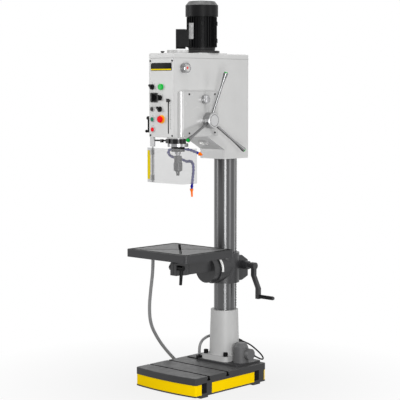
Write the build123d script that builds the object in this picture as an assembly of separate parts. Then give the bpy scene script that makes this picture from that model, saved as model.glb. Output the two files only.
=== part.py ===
from build123d import *
import math
import os

os.makedirs("parts", exist_ok=True)

# Geared drill press. Millimetres. The origin is the column axis at floor level,
# X to the operator's right, Y to the rear and Z up. The operator stands at -Y.

# Fits and gaps
running_fit = 0.05
pass_gap = 0.4
fixed_gap = 0.05
tooth_play = 0.3
pressure_angle = math.radians(20)

# Base
base_half_width = 230.0
base_rear = 98.0
base_front_corner = 482.0
base_front_apex = 500.0
base_corner_r = 12.0
base_lift = 9.0
base_top = 113.0
base_edge_r = 4.0
base_wall = 16.0
deck_thick = 40.0
tank_deck = 21.0
tank_floor = 9.0
tank_front = 150.0
tank_step = 20.0
tank_narrow = 54.0
band_low = 16.0
band_high = 75.0
band_depth = 2.0
band_front_end = 434.0
band_side_front = 355.0
band_rear_start = 80.0
anchor_edge = 25.0
anchor_front_y = -415.0
anchor_rear_y = 18.5
anchor_hole_r = 9.0
pocket_width = 37.0
pocket_depth = 44.0
pocket_top = 80.0
lug_width = 58.0
lug_top = 24.0
centre_pad_r = 70.0
base_slot_front_y = -380.0
base_slot_rear_y = -228.0
slot_neck = 14.0
slot_foot_width = 24.0
slot_foot_high = 10.0
slot_depth = 24.0
pad_high = 10.0
pad_margin = 12.0
pad_front = 112.0

# Column and its foot
column_r = 60.0
column_bore_r = 50.0
foot_half = 97.0
foot_flange_thick = 29.0
foot_corner_r = 25.0
foot_low_r = 86.0
foot_high_r = 78.0
foot_high = 295.0
foot_bolt_x = 75.0
foot_bolt_y = 73.0
foot_bolt_r = 8.0
foot_bolt_head_r = 13.0
foot_bolt_head_high = 22.0
foot_bolt_depth = 18.0
foot_bolt_socket = 14.0

# Lift rack and table bracket
rack_module = 3.0
rack_left = 13.0
rack_width = 18.0
rack_pitch_y = 68.0
rack_addendum = 2.0
rack_dedendum = 3.4
lift_teeth = 12
bracket_low = 565.0
bracket_high = 735.0
bracket_r = 85.0
trunnion_z = 650.0
trunnion_r = 83.0
trunnion_front = 114.0
pivot_r = 25.0
pivot_long = 31.0
crank_z = 660.0
crank_shaft_r = 10.0
housing_rear = 132.0
housing_shoulder = 80.0
housing_low = 572.0
housing_rear_low = 592.0
housing_rear_high = 684.0
housing_high = 716.0
housing_left = 14.0
housing_right = 62.0
crank_boss_r = 24.0
crank_boss_end = 108.0
crank_hub_r = 20.0
crank_hub_start = 132.0
crank_hub_end = 160.0
crank_radius = 171.0
crank_offset = 180.0
crank_bar_half = 12.0
crank_bar_thick = 22.0
crank_bend_start = 0.32
crank_bend_end = 0.73
crank_foot = 14.0
grip_pin_r = 6.0
grip_r = 11.0
grip_long = 97.0
grip_cap = 4.0

# Table and its arm
arm_disc_r = 75.0
arm_disc_thick = 46.0
arm_half = 45.0
arm_low = 645.0
arm_high = 718.0
table_y = -365.0
arm_boss_r = 52.0
spigot_r = 32.0
spigot_long = 88.0
ear_left = 12.0
ear_right = 58.0
ear_front = 454.0
ear_low = 650.0
ear_slit = 3.0
ear_slit_x = 35.0
clamp_y = -438.0
clamp_z = 693.0
clamp_screw_r = 7.0
clamp_hub_r = 14.0
clamp_hub_end = 96.0
clamp_arm_r = 10.0
clamp_tip_r = 8.0
clamp_lean = 8.0
clamp_arm_long = 92.0
nut_flat = 30.0
nut_thick = 12.0
table_half_x = 229.0
table_half_y = 192.0
table_top_z = 784.0
table_thick = 42.0
table_corner_r = 20.0
gutter_inset = 9.0
gutter_width = 18.0
gutter_depth = 12.0
table_slot_angle = 45.0
table_slot_long = 440.0
drain_r = 9.0
drain_bore_r = 6.0
drain_long = 26.0

# Head
head_half = 92.0
head_front = 504.0
head_rear = 104.0
head_under = 1402.0
head_seam = 1826.0
head_top = 1853.0
head_wall = 10.0
head_rear_r = 14.0
slope_start = 245.0
block_front = 104.0
slope_low = 1325.0
block_low = 1272.0
column_top = 1640.0
panel_thick = 4.0
panel_low = 1404.0
panel_high = 1824.0
panel_bay_half = 80.0
panel_bay_margin = 22.0
cover_edge_r = 6.0
spindle_y = -380.0
cap_r = 58.5
cap_high = 18.0
cap_wall = 4.0
boss_r = 62.0
boss_low = 1393.0
web_low = 1660.0
web_thick = 18.0

# Motor and gear train
motor_y = -190.0
motor_pad_half = 112.0
motor_pad_high = 4.0
motor_flange_r = 98.0
motor_flange_thick = 13.0
motor_spigot_r = 65.0
motor_collar_r = 72.0
motor_collar_high = 20.0
motor_core_r = 76.0
motor_fin_r = 84.0
motor_fin_count = 32
motor_fin_thick = 3.0
motor_body_high = 176.0
motor_bore_r = 56.0
motor_lip_high = 9.0
cowl_r = 90.0
cowl_wall = 2.5
cowl_skirt = 52.0
cowl_cone_r = 72.0
cowl_cone_high = 22.0
cowl_dome_high = 6.0
cowl_slot_count = 20
cowl_slot_width = 4.0
cowl_slot_in = 20.0
cowl_slot_out = 62.0
boss_block_width = 16.0
boss_block_high = 22.0
box_angle = 225.0
box_near = 90.0
box_far = 143.0
box_width = 100.0
box_high = 106.0
box_drop = 8.0
gland_r = 9.0
gland_long = 14.0
box_lid = 14.0
shaft_r = 12.0
rotor_air_gap = 1.0
fan_r = 74.0
fan_high = 26.0
fan_blades = 8
gear_module = 2.5
motor_teeth = 20
big_teeth = 52
small_teeth = 24
spindle_teeth = 56
gear_wide = 22.0
gear_level_gap = 7.0
bearing_wide = 16.0
bearing_ring = 14.0
sleeve_r = 22.0

# Quill, spindle and chuck
quill_r = 39.0
quill_low = 1347.0
quill_bore_r = 26.0
quill_land = 24.0
ring_r = 56.5
ring_high = 19.0
coolant_ring_r = 37.0
coolant_ring_high = 26.0
coolant_ring_bore_r = 20.0
spindle_r = 16.0
nose_low = 1306.0
arbor_r = 10.0
arbor_long = 24.0
spindle_high = 1857.0
spline_r = 11.0
spline_tip_r = 13.5
spline_width = 5.0
spline_count = 6
chuck_high = 1299.0
chuck_r = 21.0
chuck_step = 1262.0
chuck_core_r = 17.0
chuck_core_low = 1212.0
sleeve_outer_r = 24.0
sleeve_low = 1216.0
knurl_count = 30
knurl_r = 1.0
jaw_r = 4.0
jaw_tip = 1190.0
jaw_tip_axis_r = 5.6
jaw_top = 1250.0
jaw_top_axis_r = 11.5
jaw_travel = 8.0

# Quill feed
feed_module = 3.0
feed_teeth = 52
feed_y = -265.0
feed_z = 1491.0
feed_addendum = 3.0
feed_dedendum = 3.2
feed_wide = 16.0
quill_rack_addendum = 2.0
quill_rack_dedendum = 3.6
feed_cover_out = 117.0
feed_cover_front = 478.0
feed_cover_back = 184.0
feed_cover_low = 1405.0
feed_cover_high = 1648.0
feed_cover_r = 22.0
feed_cover_wall = 6.0
hub_r = 43.0
hub_long = 48.0
feed_shaft_r = 12.0
handle_angles = [78.0, 202.0, 321.0]
handle_root_r = 30.0
handle_root_x = 142.0
handle_end_r = 262.0
handle_end_x = 198.0
handle_thin_r = 7.0
handle_thick_r = 13.0
handle_thick_share = 0.72
handle_cap_r = 9.5
handle_cap_high = 5.0
knob_y = -296.0
knob_z = 1606.0
knob_r = 24.0
knob_disc_high = 22.0
knob_bar_high = 5.0
knob_bar_width = 11.0
knob_shaft_r = 6.0
feed_screw_y = [-413.0, -211.0]
feed_screw_z = [1424.0, 1633.0]
sight_y = -432.0
sight_z = 1773.0
sight_r = 26.0
sight_high = 34.0
sight_window_r = 18.0
lever_y = -468.0
lever_z = 1503.0
lever_shaft_r = 7.0
lever_hub_r = 10.0
lever_hub_out = 147.0
lever_arm_r = 5.0
lever_arm_long = 72.0
lever_pin_r = 4.0
lever_pin_rim = 3.0
lever_knob_r = 8.0
lever_knob_out = 161.0
lamp_y = -172.0
lamp_half_x = 40.0
lamp_half_y = 25.0
lamp_rim = 5.0
lamp_proud = 5.0
lamp_deep = 20.0

# Front panel controls, as places on the panel in X and Z
selector_places = [(-67.0, 1672.0), (-8.0, 1614.0), (-9.0, 1553.0)]
button_places = [(-67.0, 1553.0), (-65.0, 1498.0), (-63.0, 1443.0)]
pilot_place = (0.0, 1672.0)
main_place = (-53.0, 1615.0)
stop_place = (3.0, 1499.0)
bezel_r = 15.0
bezel_high = 5.0
button_r = 11.0
button_proud = 8.0
button_stroke = 4.0
stem_r = 8.0
selector_r = 12.0
selector_disc_high = 6.0
selector_bar_high = 10.0
selector_bar_width = 8.0
selector_bar_long = 30.0
selector_turns = [-40.0, 0.0, -40.0]
main_plate = 52.0
main_plate_high = 5.0
main_disc_r = 17.0
main_bar_long = 44.0
main_bar_width = 11.0
main_bar_high = 14.0
pilot_r = 16.5
pilot_high = 12.0
stop_ring_r = 23.0
stop_ring_high = 3.0
stop_head_r = 18.0
stop_head_high = 11.0
stop_neck = 8.0
stop_stroke = 6.0
switch_depth = 9.0
depth_x = 53.0
depth_slot_low = 1423.0
depth_slot_width = 8.0
pointer_z = 1600.0
pointer_stem = 3.0
pointer_proud = 8.0
panel_screw_x = 82.0
panel_screw_z = [1412.0, 1811.0]
screw_r = 2.5
screw_long = 14.0
screw_head_r = 5.0
screw_head_high = 3.0
screw_slot = 1.2

# Guard
guard_y = -452.0
guard_sheet = 3.0
guard_left = 107.0
guard_right = 106.0
guard_low = 1150.0
guard_high = 1340.0
guard_side = 109.0
guard_wing = 78.0
guard_wing_angle = 15.0
guard_pin_x = -149.0
guard_pin_y = -426.0
guard_pin_r = 5.0
guard_sleeve_r = 9.0
post_half_x = 15.0
post_half_y = 7.0
post_low = 1346.0
post_high = 1405.0
rod_z = 1380.0
rod_r = 4.5
rod_end_x = -48.0
rod_end_y = -403.0
rod_collar_r = 44.5
rod_clamp_half = 12.0
rod_clamp_high = 24.0
rod_block_half = 7.0

# Coolant parts
pump_foot_gap = 6.0
pump_pad_margin = 9.0
pump_stem_room = 4.0
pump_y = -23.0
pump_r = 42.0
pump_high = 90.0
pump_dome_high = 20.0
pump_stem_r = 24.0
pump_stem_long = 78.0
pump_hole_r = 28.0
pump_box_r = 33.0
pump_box_y = -8.0
pump_box_z = 171.0
pump_box_long = 64.0
supply_out = 21.0
drain_out = 26.0
supply_r = 8.0
drain_r = 9.5
hose_bore_r = 5.5
cable_r = 4.3
spout_r = 7.0
riser_half = 13.0
arm_cup_small_r = 6.6
arm_cup_large_r = 8.8
arm_cup_long = 12.0
arm_neck_r = 5.8
arm_link_step = 17.2
arm_cup_lead = 0.15
nozzle_collar_r = 11.0
nozzle_collar_long = 15.0
nozzle_base_r = 6.2
nozzle_tip_r = 4.8

# Rounded and bevelled edges
bolt_edge = 2.0
housing_edge_r = 6.0
clamp_edge_r = 4.0
grip_edge_r = 3.0
bezel_edge = 1.5
main_plate_r = 5.0
pilot_edge = 2.0
button_edge_r = 1.5
stop_edge_r = 6.0
screw_edge_r = 1.0
knob_edge_r = 3.0
sight_edge = 3.0
lever_edge_r = 4.0
lever_knob_edge_r = 7.0
hub_edge = 4.0
quill_ring_edge = 1.5
post_edge_r = 3.0
motor_edge_r = 3.0
cover_seam = 1.5
terminal_edge_r = 8.0
chuck_top_edge_r = 4.0
chuck_low_edge = 3.0
jaw_edge = 1.0
sleeve_edge = 2.0
pump_dome_edge_r = 6.0
gland_edge = 2.0

# Places that follow from the sizes above
pad_top = base_top + pad_high
foot_flange_top = pad_top + foot_flange_thick
foot_top = pad_top + foot_high - pad_high
rack_low = foot_top + pass_gap
rack_high = block_low - pass_gap
lift_r = rack_module * lift_teeth / 2
crank_y = rack_pitch_y + lift_r
table_low = table_top_z - table_thick
web_high = web_low + web_thick
level_low = web_high + gear_level_gap
level_high = level_low + gear_wide + gear_level_gap
middle_y = motor_y - gear_module * (motor_teeth + big_teeth) / 2
gear_train_y = middle_y - gear_module * (small_teeth + spindle_teeth) / 2
feed_r = feed_module * feed_teeth / 2
quill_high = web_low - 4
panel_face = -head_front - panel_thick
motor_seat = head_top + motor_pad_high
motor_low = motor_seat + motor_flange_thick
motor_body_low = motor_low + motor_collar_high
motor_body_top = motor_body_low + motor_body_high
box_low = motor_body_low - box_drop
cowl_top = motor_body_top + cowl_skirt
anchor_x = base_half_width - anchor_edge
pad_left = foot_half + pad_margin
pump_x = foot_half + pump_foot_gap + pump_r
pad_right = pump_x + pump_r + pump_pad_margin
drain_x = -(table_half_x - gutter_inset - gutter_width / 2)
drain_z = table_low - drain_long
drain_side_x = -base_half_width - drain_out
bracket_from = min(bracket_low, housing_low) - 1
bracket_to = max(bracket_high, housing_high) + 1

# Places along each line. Lines run straight between rounded corners.
supply_line = [
    (-foot_half - supply_out, -84, 142),
    (-foot_half - supply_out, -84, 180),
    (-foot_half - supply_out + 1, -73, 206),
    (-114, -52, 226),
    (-105, -6, 242),
    (-74, 66, 240),
    (-8, 122, 214),
    (pump_x - 79, 124, 178),
    (pump_x - 31, 74, 164),
    (pump_x - 25, 26, 162),
]
drain_line = [
    (drain_x, table_y, drain_z),
    (drain_x, table_y, drain_z - 70),
    (drain_x - 23, table_y + 5, 540),
    (drain_side_x + 10, table_y + 3, 430),
    (drain_side_x + 4, table_y + 20, 330),
    (drain_side_x, -280, 235),
    (drain_side_x - 2, -215, 165),
    (drain_side_x - 1, -157, 110),
    (drain_side_x, -124, 81),
]
cable_line = [
    (pump_x + 44, 47, 153),
    (pump_x + 61.5, 85, 128),
    (pump_x + 46.5, 124.5, 127),
    (153, 142, 147),
    (114, 127, 180),
    (90, 109, 202),
    (60, 85, 217),
]
first_arm_line = [
    (-24, -392, 1334),
    (-46, -404, 1330),
    (-58, -396, 1306),
    (-50, -364, 1286),
    (-22, -336, 1280),
    (18, -327, 1264),
    (46, -327, 1270),
    (66, -330, 1254),
    (69, -330, 1222),
    (62, -330, 1172),
    (55, -330, 1118),
]
first_nozzle_tip = (58, -330, 1074)
second_arm_line = [
    (30, -362, 1334),
    (58, -346, 1332),
    (78, -332, 1322),
    (96, -312, 1310),
]
second_nozzle_tip = (112, -308, 1305)


# Shapes
def block(x0, x1, y0, y1, z0, z1):
    return Pos((x0 + x1) / 2, (y0 + y1) / 2, (z0 + z1) / 2) * Box(x1 - x0, y1 - y0, z1 - z0)


def disc_x(x0, x1, y, z, r):
    return Pos((x0 + x1) / 2, y, z) * Rot(0, 90, 0) * Cylinder(r, x1 - x0)


def disc_y(x, y0, y1, z, r):
    return Pos(x, (y0 + y1) / 2, z) * Rot(90, 0, 0) * Cylinder(r, y1 - y0)


def disc_z(x, y, z0, z1, r):
    return Pos(x, y, (z0 + z1) / 2) * Cylinder(r, z1 - z0)


def taper_z(x, y, z0, z1, r0, r1):
    return Pos(x, y, (z0 + z1) / 2) * Cone(r0, r1, z1 - z0)


def between(p, q, r):
    a = Vector(*p)
    b = Vector(*q)
    return extrude(Plane(origin=a, z_dir=b - a) * Circle(r), amount=(b - a).length)


def taper_between(p, q, r0, r1):
    a = Vector(*p)
    b = Vector(*q)
    middle = Plane(origin=(a + b) * 0.5, z_dir=b - a)
    return middle * Cone(r0, r1, (b - a).length)


def prism_x(points, x0, x1):
    face = Plane((x0, 0, 0), x_dir=(0, 1, 0), z_dir=(1, 0, 0)) * Polygon(*points, align=None)
    return extrude(face, amount=x1 - x0, dir=(1, 0, 0))


def prism_y(points, y0, y1):
    face = Plane((0, y0, 0), x_dir=(1, 0, 0), z_dir=(0, -1, 0)) * Polygon(*points, align=None)
    return extrude(face, amount=y1 - y0, dir=(0, 1, 0))


def prism_z(points, z0, z1):
    face = Plane((0, 0, z0), x_dir=(1, 0, 0), z_dir=(0, 0, 1)) * Polygon(*points, align=None)
    return extrude(face, amount=z1 - z0, dir=(0, 0, 1))


def involute(angle):
    return math.tan(angle) - angle


def gear_points(module, teeth, addendum, dedendum, turn):
    # Outline of a spur gear with a tooth centred at the angle turn
    pitch = module * teeth / 2
    ground = pitch * math.cos(pressure_angle)
    root = pitch - dedendum
    start = max(ground, root)
    half = math.pi / (2 * teeth) - tooth_play / (4 * pitch) + involute(pressure_angle)
    flank = []
    if root < ground:
        flank.append((root, half))
    for step in range(4):
        r = start + (pitch + addendum - start) * step / 3
        flank.append((r, half - involute(math.acos(min(1.0, ground / r)))))
    points = []
    for tooth in range(teeth):
        middle = turn + 2 * math.pi * tooth / teeth
        for r, a in flank:
            points.append((r * math.cos(middle - a), r * math.sin(middle - a)))
        for r, a in reversed(flank):
            points.append((r * math.cos(middle + a), r * math.sin(middle + a)))
    return points


def gear_z(x, y, z0, z1, points):
    return prism_z([(x + u, y + v) for u, v in points], z0, z1)


def gear_x(x0, x1, y, z, points):
    return prism_x([(y + u, z + v) for u, v in points], x0, x1)


def rack_edge(module, pitch_y, addendum, dedendum, gap_z, low, high):
    # Toothed edge facing +Y, from low to high, with a gap centred at gap_z
    pitch = math.pi * module
    slant = math.tan(pressure_angle)
    tip_half = pitch / 4 - tooth_play / 4 - addendum * slant
    root_half = pitch / 4 - tooth_play / 4 + dedendum * slant
    first = math.ceil((low + root_half - gap_z) / pitch - 0.5)
    last = math.floor((high - root_half - gap_z) / pitch - 0.5)
    edge = [(pitch_y - dedendum, low)]
    for tooth in range(first, last + 1):
        z = gap_z + (tooth + 0.5) * pitch
        edge.append((pitch_y - dedendum, z - root_half))
        edge.append((pitch_y + addendum, z - tip_half))
        edge.append((pitch_y + addendum, z + tip_half))
        edge.append((pitch_y - dedendum, z + root_half))
    edge.append((pitch_y - dedendum, high))
    return edge


def rounded_line(points):
    # Straight runs joined by arcs as wide as the runs allow
    radii = []
    for before, here, after in zip(points, points[1:], points[2:]):
        a = Vector(*here) - Vector(*before)
        b = Vector(*after) - Vector(*here)
        turn = math.radians(a.get_angle(b))
        radii.append(0.45 * min(a.length, b.length) / math.tan(turn / 2))
    return FilletPolyline(*points, radius=radii), radii


def line_tube(points, r, bore):
    path, radii = rounded_line(points)
    start = Plane(origin=path @ 0, z_dir=path % 0)
    tube = sweep(start * Circle(r), path=path)
    if bore:
        tube -= sweep(start * Circle(bore), path=path)
    area = math.pi * (r * r - bore * bore)
    print("line", round(path.length, 1), "least radius", round(min(radii), 1), "volume share",
          round(tube.volume / (area * path.length), 4))
    return tube


def jointed_arm(points):
    # Stiff arm of short links: a core with a flared cup at every joint but the first, which sits in the ring
    path, radii = rounded_line(points)
    start = Plane(origin=path @ 0, z_dir=path % 0)
    arm = sweep(start * Circle(arm_neck_r), path=path)
    count = math.floor(path.length / arm_link_step)
    for n in range(1, count):
        share = (n + arm_cup_lead) / count
        place = Plane(origin=path @ share, z_dir=path % share)
        arm += place * Cone(arm_cup_small_r, arm_cup_large_r, arm_cup_long)
    return arm


def hex_prism_x(x0, x1, y, z, flat):
    face = Plane((x0, y, z), x_dir=(0, 1, 0), z_dir=(1, 0, 0)) * RegularPolygon(flat / math.sqrt(3), 6)
    return extrude(face, amount=x1 - x0, dir=(1, 0, 0))


def save(name, shape):
    export_step(shape, f"parts/{name}.step")


# Base: a bowed front, side pockets with anchor lugs, two T-slots and a tank
outline_lines = Line((base_half_width, base_rear), (base_half_width, -base_front_corner))
outline_lines += ThreePointArc(
    (base_half_width, -base_front_corner),
    (0, -base_front_apex),
    (-base_half_width, -base_front_corner),
)
outline_lines += Polyline(
    (-base_half_width, -base_front_corner),
    (-base_half_width, base_rear),
    (base_half_width, base_rear),
)
outline = make_face(outline_lines)
outline = fillet(outline.vertices(), base_corner_r)
band_outline = outline - offset(outline, amount=-band_depth)
base = Pos(0, 0, base_lift) * extrude(outline, amount=base_top - base_lift, dir=(0, 0, 1))
base = fillet(base.faces().sort_by(Axis.Z)[-1].edges(), base_edge_r)
pad = block(-pad_left, pad_right, -pad_front, base_rear - base_edge_r, base_top - 1, pad_top)
base += fillet(pad.edges().filter_by(Axis.Z), base_corner_r)
inner = base_half_width - base_wall
base -= block(
    -inner + pocket_depth,
    inner - pocket_depth,
    -base_front_corner + base_wall,
    -tank_front - base_wall,
    0,
    base_top - deck_thick,
)
tank_low = base_lift + tank_floor
tank_high = base_top - tank_deck
base -= block(-inner, inner, -tank_front, -tank_step, tank_low, tank_high)
base -= block(
    -base_half_width + tank_narrow,
    base_half_width - tank_narrow,
    -tank_step - 1,
    base_rear - base_wall,
    tank_low,
    tank_high,
)
for y in (base_slot_front_y, base_slot_rear_y):
    neck = slot_neck / 2
    wide = slot_foot_width / 2
    reach = base_half_width + 1
    base -= block(-reach, reach, y - neck, y + neck, base_top - slot_depth, base_top + 1)
    base -= block(
        -reach,
        reach,
        y - wide,
        y + wide,
        base_top - slot_depth,
        base_top - slot_depth + slot_foot_high,
    )
for side in (-1, 1):
    for y in (anchor_front_y, anchor_rear_y):
        far = side * (base_half_width + 1)
        edge = side * base_half_width
        near = side * (base_half_width - pocket_depth)
        base -= block(
            min(near, far),
            max(near, far),
            y - pocket_width / 2,
            y + pocket_width / 2,
            lug_top,
            pocket_top,
        )
        base += block(
            min(near, edge),
            max(near, edge),
            y - lug_width / 2,
            y + lug_width / 2,
            0,
            lug_top,
        )
        base -= disc_z(side * anchor_x, y, -1, lug_top + 1, anchor_hole_r)
band_tall = Pos(0, 0, band_low) * extrude(band_outline, amount=band_high - band_low, dir=(0, 0, 1))
wide = base_half_width + 10
base -= band_tall & block(-wide, wide, -base_front_apex - 10, -band_front_end, 0, base_top)
base -= band_tall & block(-wide, wide, -band_side_front, 0, 0, base_top)
base -= band_tall & block(-wide, wide, band_rear_start, base_rear + 10, 0, base_top)
base += disc_z(0, 0, 0, base_lift + 1, centre_pad_r)
for x in (-foot_bolt_x, foot_bolt_x):
    for y in (-foot_bolt_y, foot_bolt_y):
        base -= disc_z(x, y, pad_top - foot_bolt_depth - 2, pad_top + 1, foot_bolt_r + fixed_gap)
stem_low = pad_top - pump_stem_long - pump_stem_room
base -= disc_z(pump_x, pump_y, stem_low, pad_top + 1, pump_hole_r)
save("base_casting", base)

# Column foot and its bolts
flange = block(-foot_half, foot_half, -foot_half, foot_half, pad_top, foot_flange_top)
foot = fillet(flange.edges().filter_by(Axis.Z), foot_corner_r)
foot += taper_z(0, 0, foot_flange_top, foot_top, foot_low_r, foot_high_r)
foot -= disc_z(0, 0, pad_top - 1, foot_top + 1, column_r + fixed_gap)
bolts = []
for x in (-foot_bolt_x, foot_bolt_x):
    for y in (-foot_bolt_y, foot_bolt_y):
        foot -= disc_z(x, y, pad_top - 1, foot_flange_top + 1, foot_bolt_r + fixed_gap)
        foot -= disc_z(x, y, foot_flange_top, foot_top, foot_bolt_head_r + 1.5)
        head_top_z = foot_flange_top + foot_bolt_head_high
        bolt = disc_z(x, y, foot_flange_top, head_top_z, foot_bolt_head_r)
        bolt = chamfer(bolt.faces().sort_by(Axis.Z)[-1].edges(), bolt_edge)
        bolt += disc_z(x, y, pad_top - foot_bolt_depth, foot_flange_top + 1, foot_bolt_r)
        socket = RegularPolygon(foot_bolt_socket / math.sqrt(3), 6)
        bolt -= Pos(x, y, head_top_z - foot_bolt_r) * extrude(socket, amount=20, dir=(0, 0, 1))
        bolts.append(bolt)
save("column_foot", foot)
save("foot_bolts", Compound(children=bolts))

# Column
column = disc_z(0, 0, pad_top, column_top, column_r)
column -= disc_z(0, 0, pad_top - 1, column_top + 1, column_bore_r)
save("column_tube", column)

# Lift rack, loose on the column between the foot and the head
rack_right = rack_left + rack_width
edge = rack_edge(
    rack_module,
    rack_pitch_y,
    rack_addendum,
    rack_dedendum,
    crank_z,
    rack_low,
    rack_high,
)
inside_y = rack_pitch_y - 20
rack = prism_x([(inside_y, rack_low)] + edge + [(inside_y, rack_high)], rack_left, rack_right)
rack -= disc_z(0, 0, rack_low - 1, rack_high + 1, column_r + pass_gap)
save("column_rack", rack)

# Table bracket with the trunnion in front and the pinion housing behind
bracket = disc_z(0, 0, bracket_low, bracket_high, bracket_r)
bracket += disc_y(0, -trunnion_front, 0, trunnion_z, trunnion_r)
housing = prism_x(
    [
        (0, housing_low),
        (housing_shoulder, housing_low),
        (housing_rear, housing_rear_low),
        (housing_rear, housing_rear_high),
        (housing_shoulder, housing_high),
        (0, housing_high),
    ],
    -housing_left,
    housing_right,
)
bracket += fillet(housing.edges().filter_by(Axis.X).group_by(Axis.Y)[-1], housing_edge_r)
bracket += disc_x(housing_right - 1, crank_boss_end, crank_y, crank_z, crank_boss_r)
bracket -= disc_z(0, 0, bracket_from, bracket_to, column_r + running_fit)
bracket -= block(
    rack_left - pass_gap,
    rack_right + pass_gap,
    rack_pitch_y - 25,
    rack_pitch_y + rack_addendum + pass_gap,
    bracket_from,
    bracket_to,
)
bracket -= disc_x(
    rack_left - pass_gap,
    rack_right + pass_gap,
    crank_y,
    crank_z,
    lift_r + rack_module + pass_gap,
)
bracket -= disc_x(
    -housing_left / 2 - pass_gap,
    crank_boss_end + 1,
    crank_y,
    crank_z,
    crank_shaft_r + running_fit,
)
bracket -= disc_y(
    0,
    -trunnion_front - 1,
    -trunnion_front + pivot_long + pass_gap,
    trunnion_z,
    pivot_r + running_fit,
)
save("table_bracket", bracket)

# Lift crank: pinion, shaft, bent arm and grip pin
crank_low = crank_z - crank_radius
half = crank_bar_half
crank = disc_x(-housing_left / 2, crank_hub_end, crank_y, crank_z, crank_shaft_r)
crank += gear_x(
    rack_left + 1,
    rack_right - 1,
    crank_y,
    crank_z,
    gear_points(rack_module, lift_teeth, rack_module, rack_addendum + 0.8, math.pi),
)
crank += disc_x(crank_hub_start, crank_hub_end, crank_y, crank_z, crank_hub_r)
hub_middle = (crank_hub_start + crank_hub_end) / 2
bend_high = crank_z - crank_bend_start * crank_radius
bend_low = crank_z - crank_bend_end * crank_radius
crank += prism_y(
    [
        (hub_middle - half, crank_z),
        (hub_middle + half, crank_z),
        (hub_middle + half, bend_high),
        (crank_offset + half, bend_low),
        (crank_offset + half, crank_low - crank_foot),
        (crank_offset - half, crank_low - crank_foot),
        (crank_offset - half, bend_low),
        (hub_middle - half, bend_high),
    ],
    crank_y - crank_bar_thick / 2,
    crank_y + crank_bar_thick / 2,
)
grip_start = crank_offset + half + pass_gap
grip_end = grip_start + grip_long
crank += disc_x(crank_offset, grip_end + pass_gap + 1, crank_y, crank_low, grip_pin_r)
crank += disc_x(
    grip_end + pass_gap,
    grip_end + pass_gap + grip_cap,
    crank_y,
    crank_low,
    grip_r - 2,
)
save("lift_crank", crank)
grip = disc_x(grip_start, grip_end, crank_y, crank_low, grip_r)
grip = fillet(grip.edges(), grip_edge_r)
grip -= disc_x(grip_start - 1, grip_end + 1, crank_y, crank_low, grip_pin_r + running_fit)
save("crank_grip", grip)

# Table arm with the split boss that the table turns in, and the nut of its clamp
arm_face = -trunnion_front - pass_gap
arm = disc_y(0, arm_face - arm_disc_thick, arm_face, trunnion_z, arm_disc_r)
arm += disc_y(0, arm_face - 1, -trunnion_front + pivot_long, trunnion_z, pivot_r)
arm += block(-arm_half, arm_half, table_y, arm_face - 1, arm_low, arm_high)
arm += disc_z(0, table_y, arm_low, table_low - pass_gap, arm_boss_r)
arm += block(ear_left, ear_right, -ear_front, table_y - spigot_r / 2, ear_low, arm_high)
arm -= disc_z(0, table_y, arm_low - 1, table_low, spigot_r + running_fit)
arm -= block(
    ear_slit_x - ear_slit / 2,
    ear_slit_x + ear_slit / 2,
    -ear_front - 1,
    table_y - spigot_r / 2,
    arm_low - 1,
    table_low,
)
arm -= disc_x(ear_left - 1, ear_right + 1, clamp_y, clamp_z, clamp_screw_r + running_fit)
save("table_arm", arm)
nut_left = ear_left - nut_thick
nut = hex_prism_x(nut_left, ear_left, clamp_y, clamp_z, nut_flat)
nut -= disc_x(nut_left - 1, ear_left + 1, clamp_y, clamp_z, clamp_screw_r + running_fit)
save("clamp_nut", nut)

# Table clamp lever
clamp_start = ear_right + pass_gap
clamp = disc_x(nut_left, clamp_hub_end, clamp_y, clamp_z, clamp_screw_r)
clamp += disc_x(clamp_start, clamp_hub_end, clamp_y, clamp_z, clamp_hub_r)
arm_x = clamp_hub_end - clamp_hub_r
tip = (arm_x, clamp_y - clamp_lean, clamp_z - clamp_arm_long)
lever_arm = taper_between((arm_x, clamp_y, clamp_z), tip, clamp_arm_r, clamp_tip_r)
clamp += fillet(lever_arm.edges().sort_by(Axis.Z)[0], clamp_edge_r)
save("table_clamp_lever", clamp)

# Table top with gutter, crossed T-slots, turning spigot and drain spout
table = block(
    -table_half_x,
    table_half_x,
    table_y - table_half_y,
    table_y + table_half_y,
    table_low,
    table_top_z,
)
table = fillet(table.edges().filter_by(Axis.Z), table_corner_r)
gutter = Rectangle(2 * (table_half_x - gutter_inset), 2 * (table_half_y - gutter_inset))
gutter_in = gutter_inset + gutter_width
gutter -= Rectangle(2 * (table_half_x - gutter_in), 2 * (table_half_y - gutter_in))
gutter_low = table_top_z - gutter_depth
table -= Pos(0, table_y, gutter_low) * extrude(gutter, amount=gutter_depth + 1, dir=(0, 0, 1))
for turn in (-table_slot_angle, table_slot_angle):
    place = Pos(0, table_y, 0) * Rot(0, 0, turn)
    reach = table_slot_long / 2
    neck = slot_neck / 2
    wide = slot_foot_width / 2
    foot_z = table_top_z - slot_depth
    table -= place * block(-reach, reach, -neck, neck, foot_z, table_top_z + 1)
    table -= place * block(-reach, reach, -wide, wide, foot_z, foot_z + slot_foot_high)
table += disc_z(0, table_y, table_low - spigot_long, table_low + 1, spigot_r)
table += disc_z(drain_x, table_y, drain_z, table_low + 1, drain_r)
table -= disc_z(drain_x, table_y, drain_z - 1, table_top_z + 1, drain_bore_r)
save("table_top", table)

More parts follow.
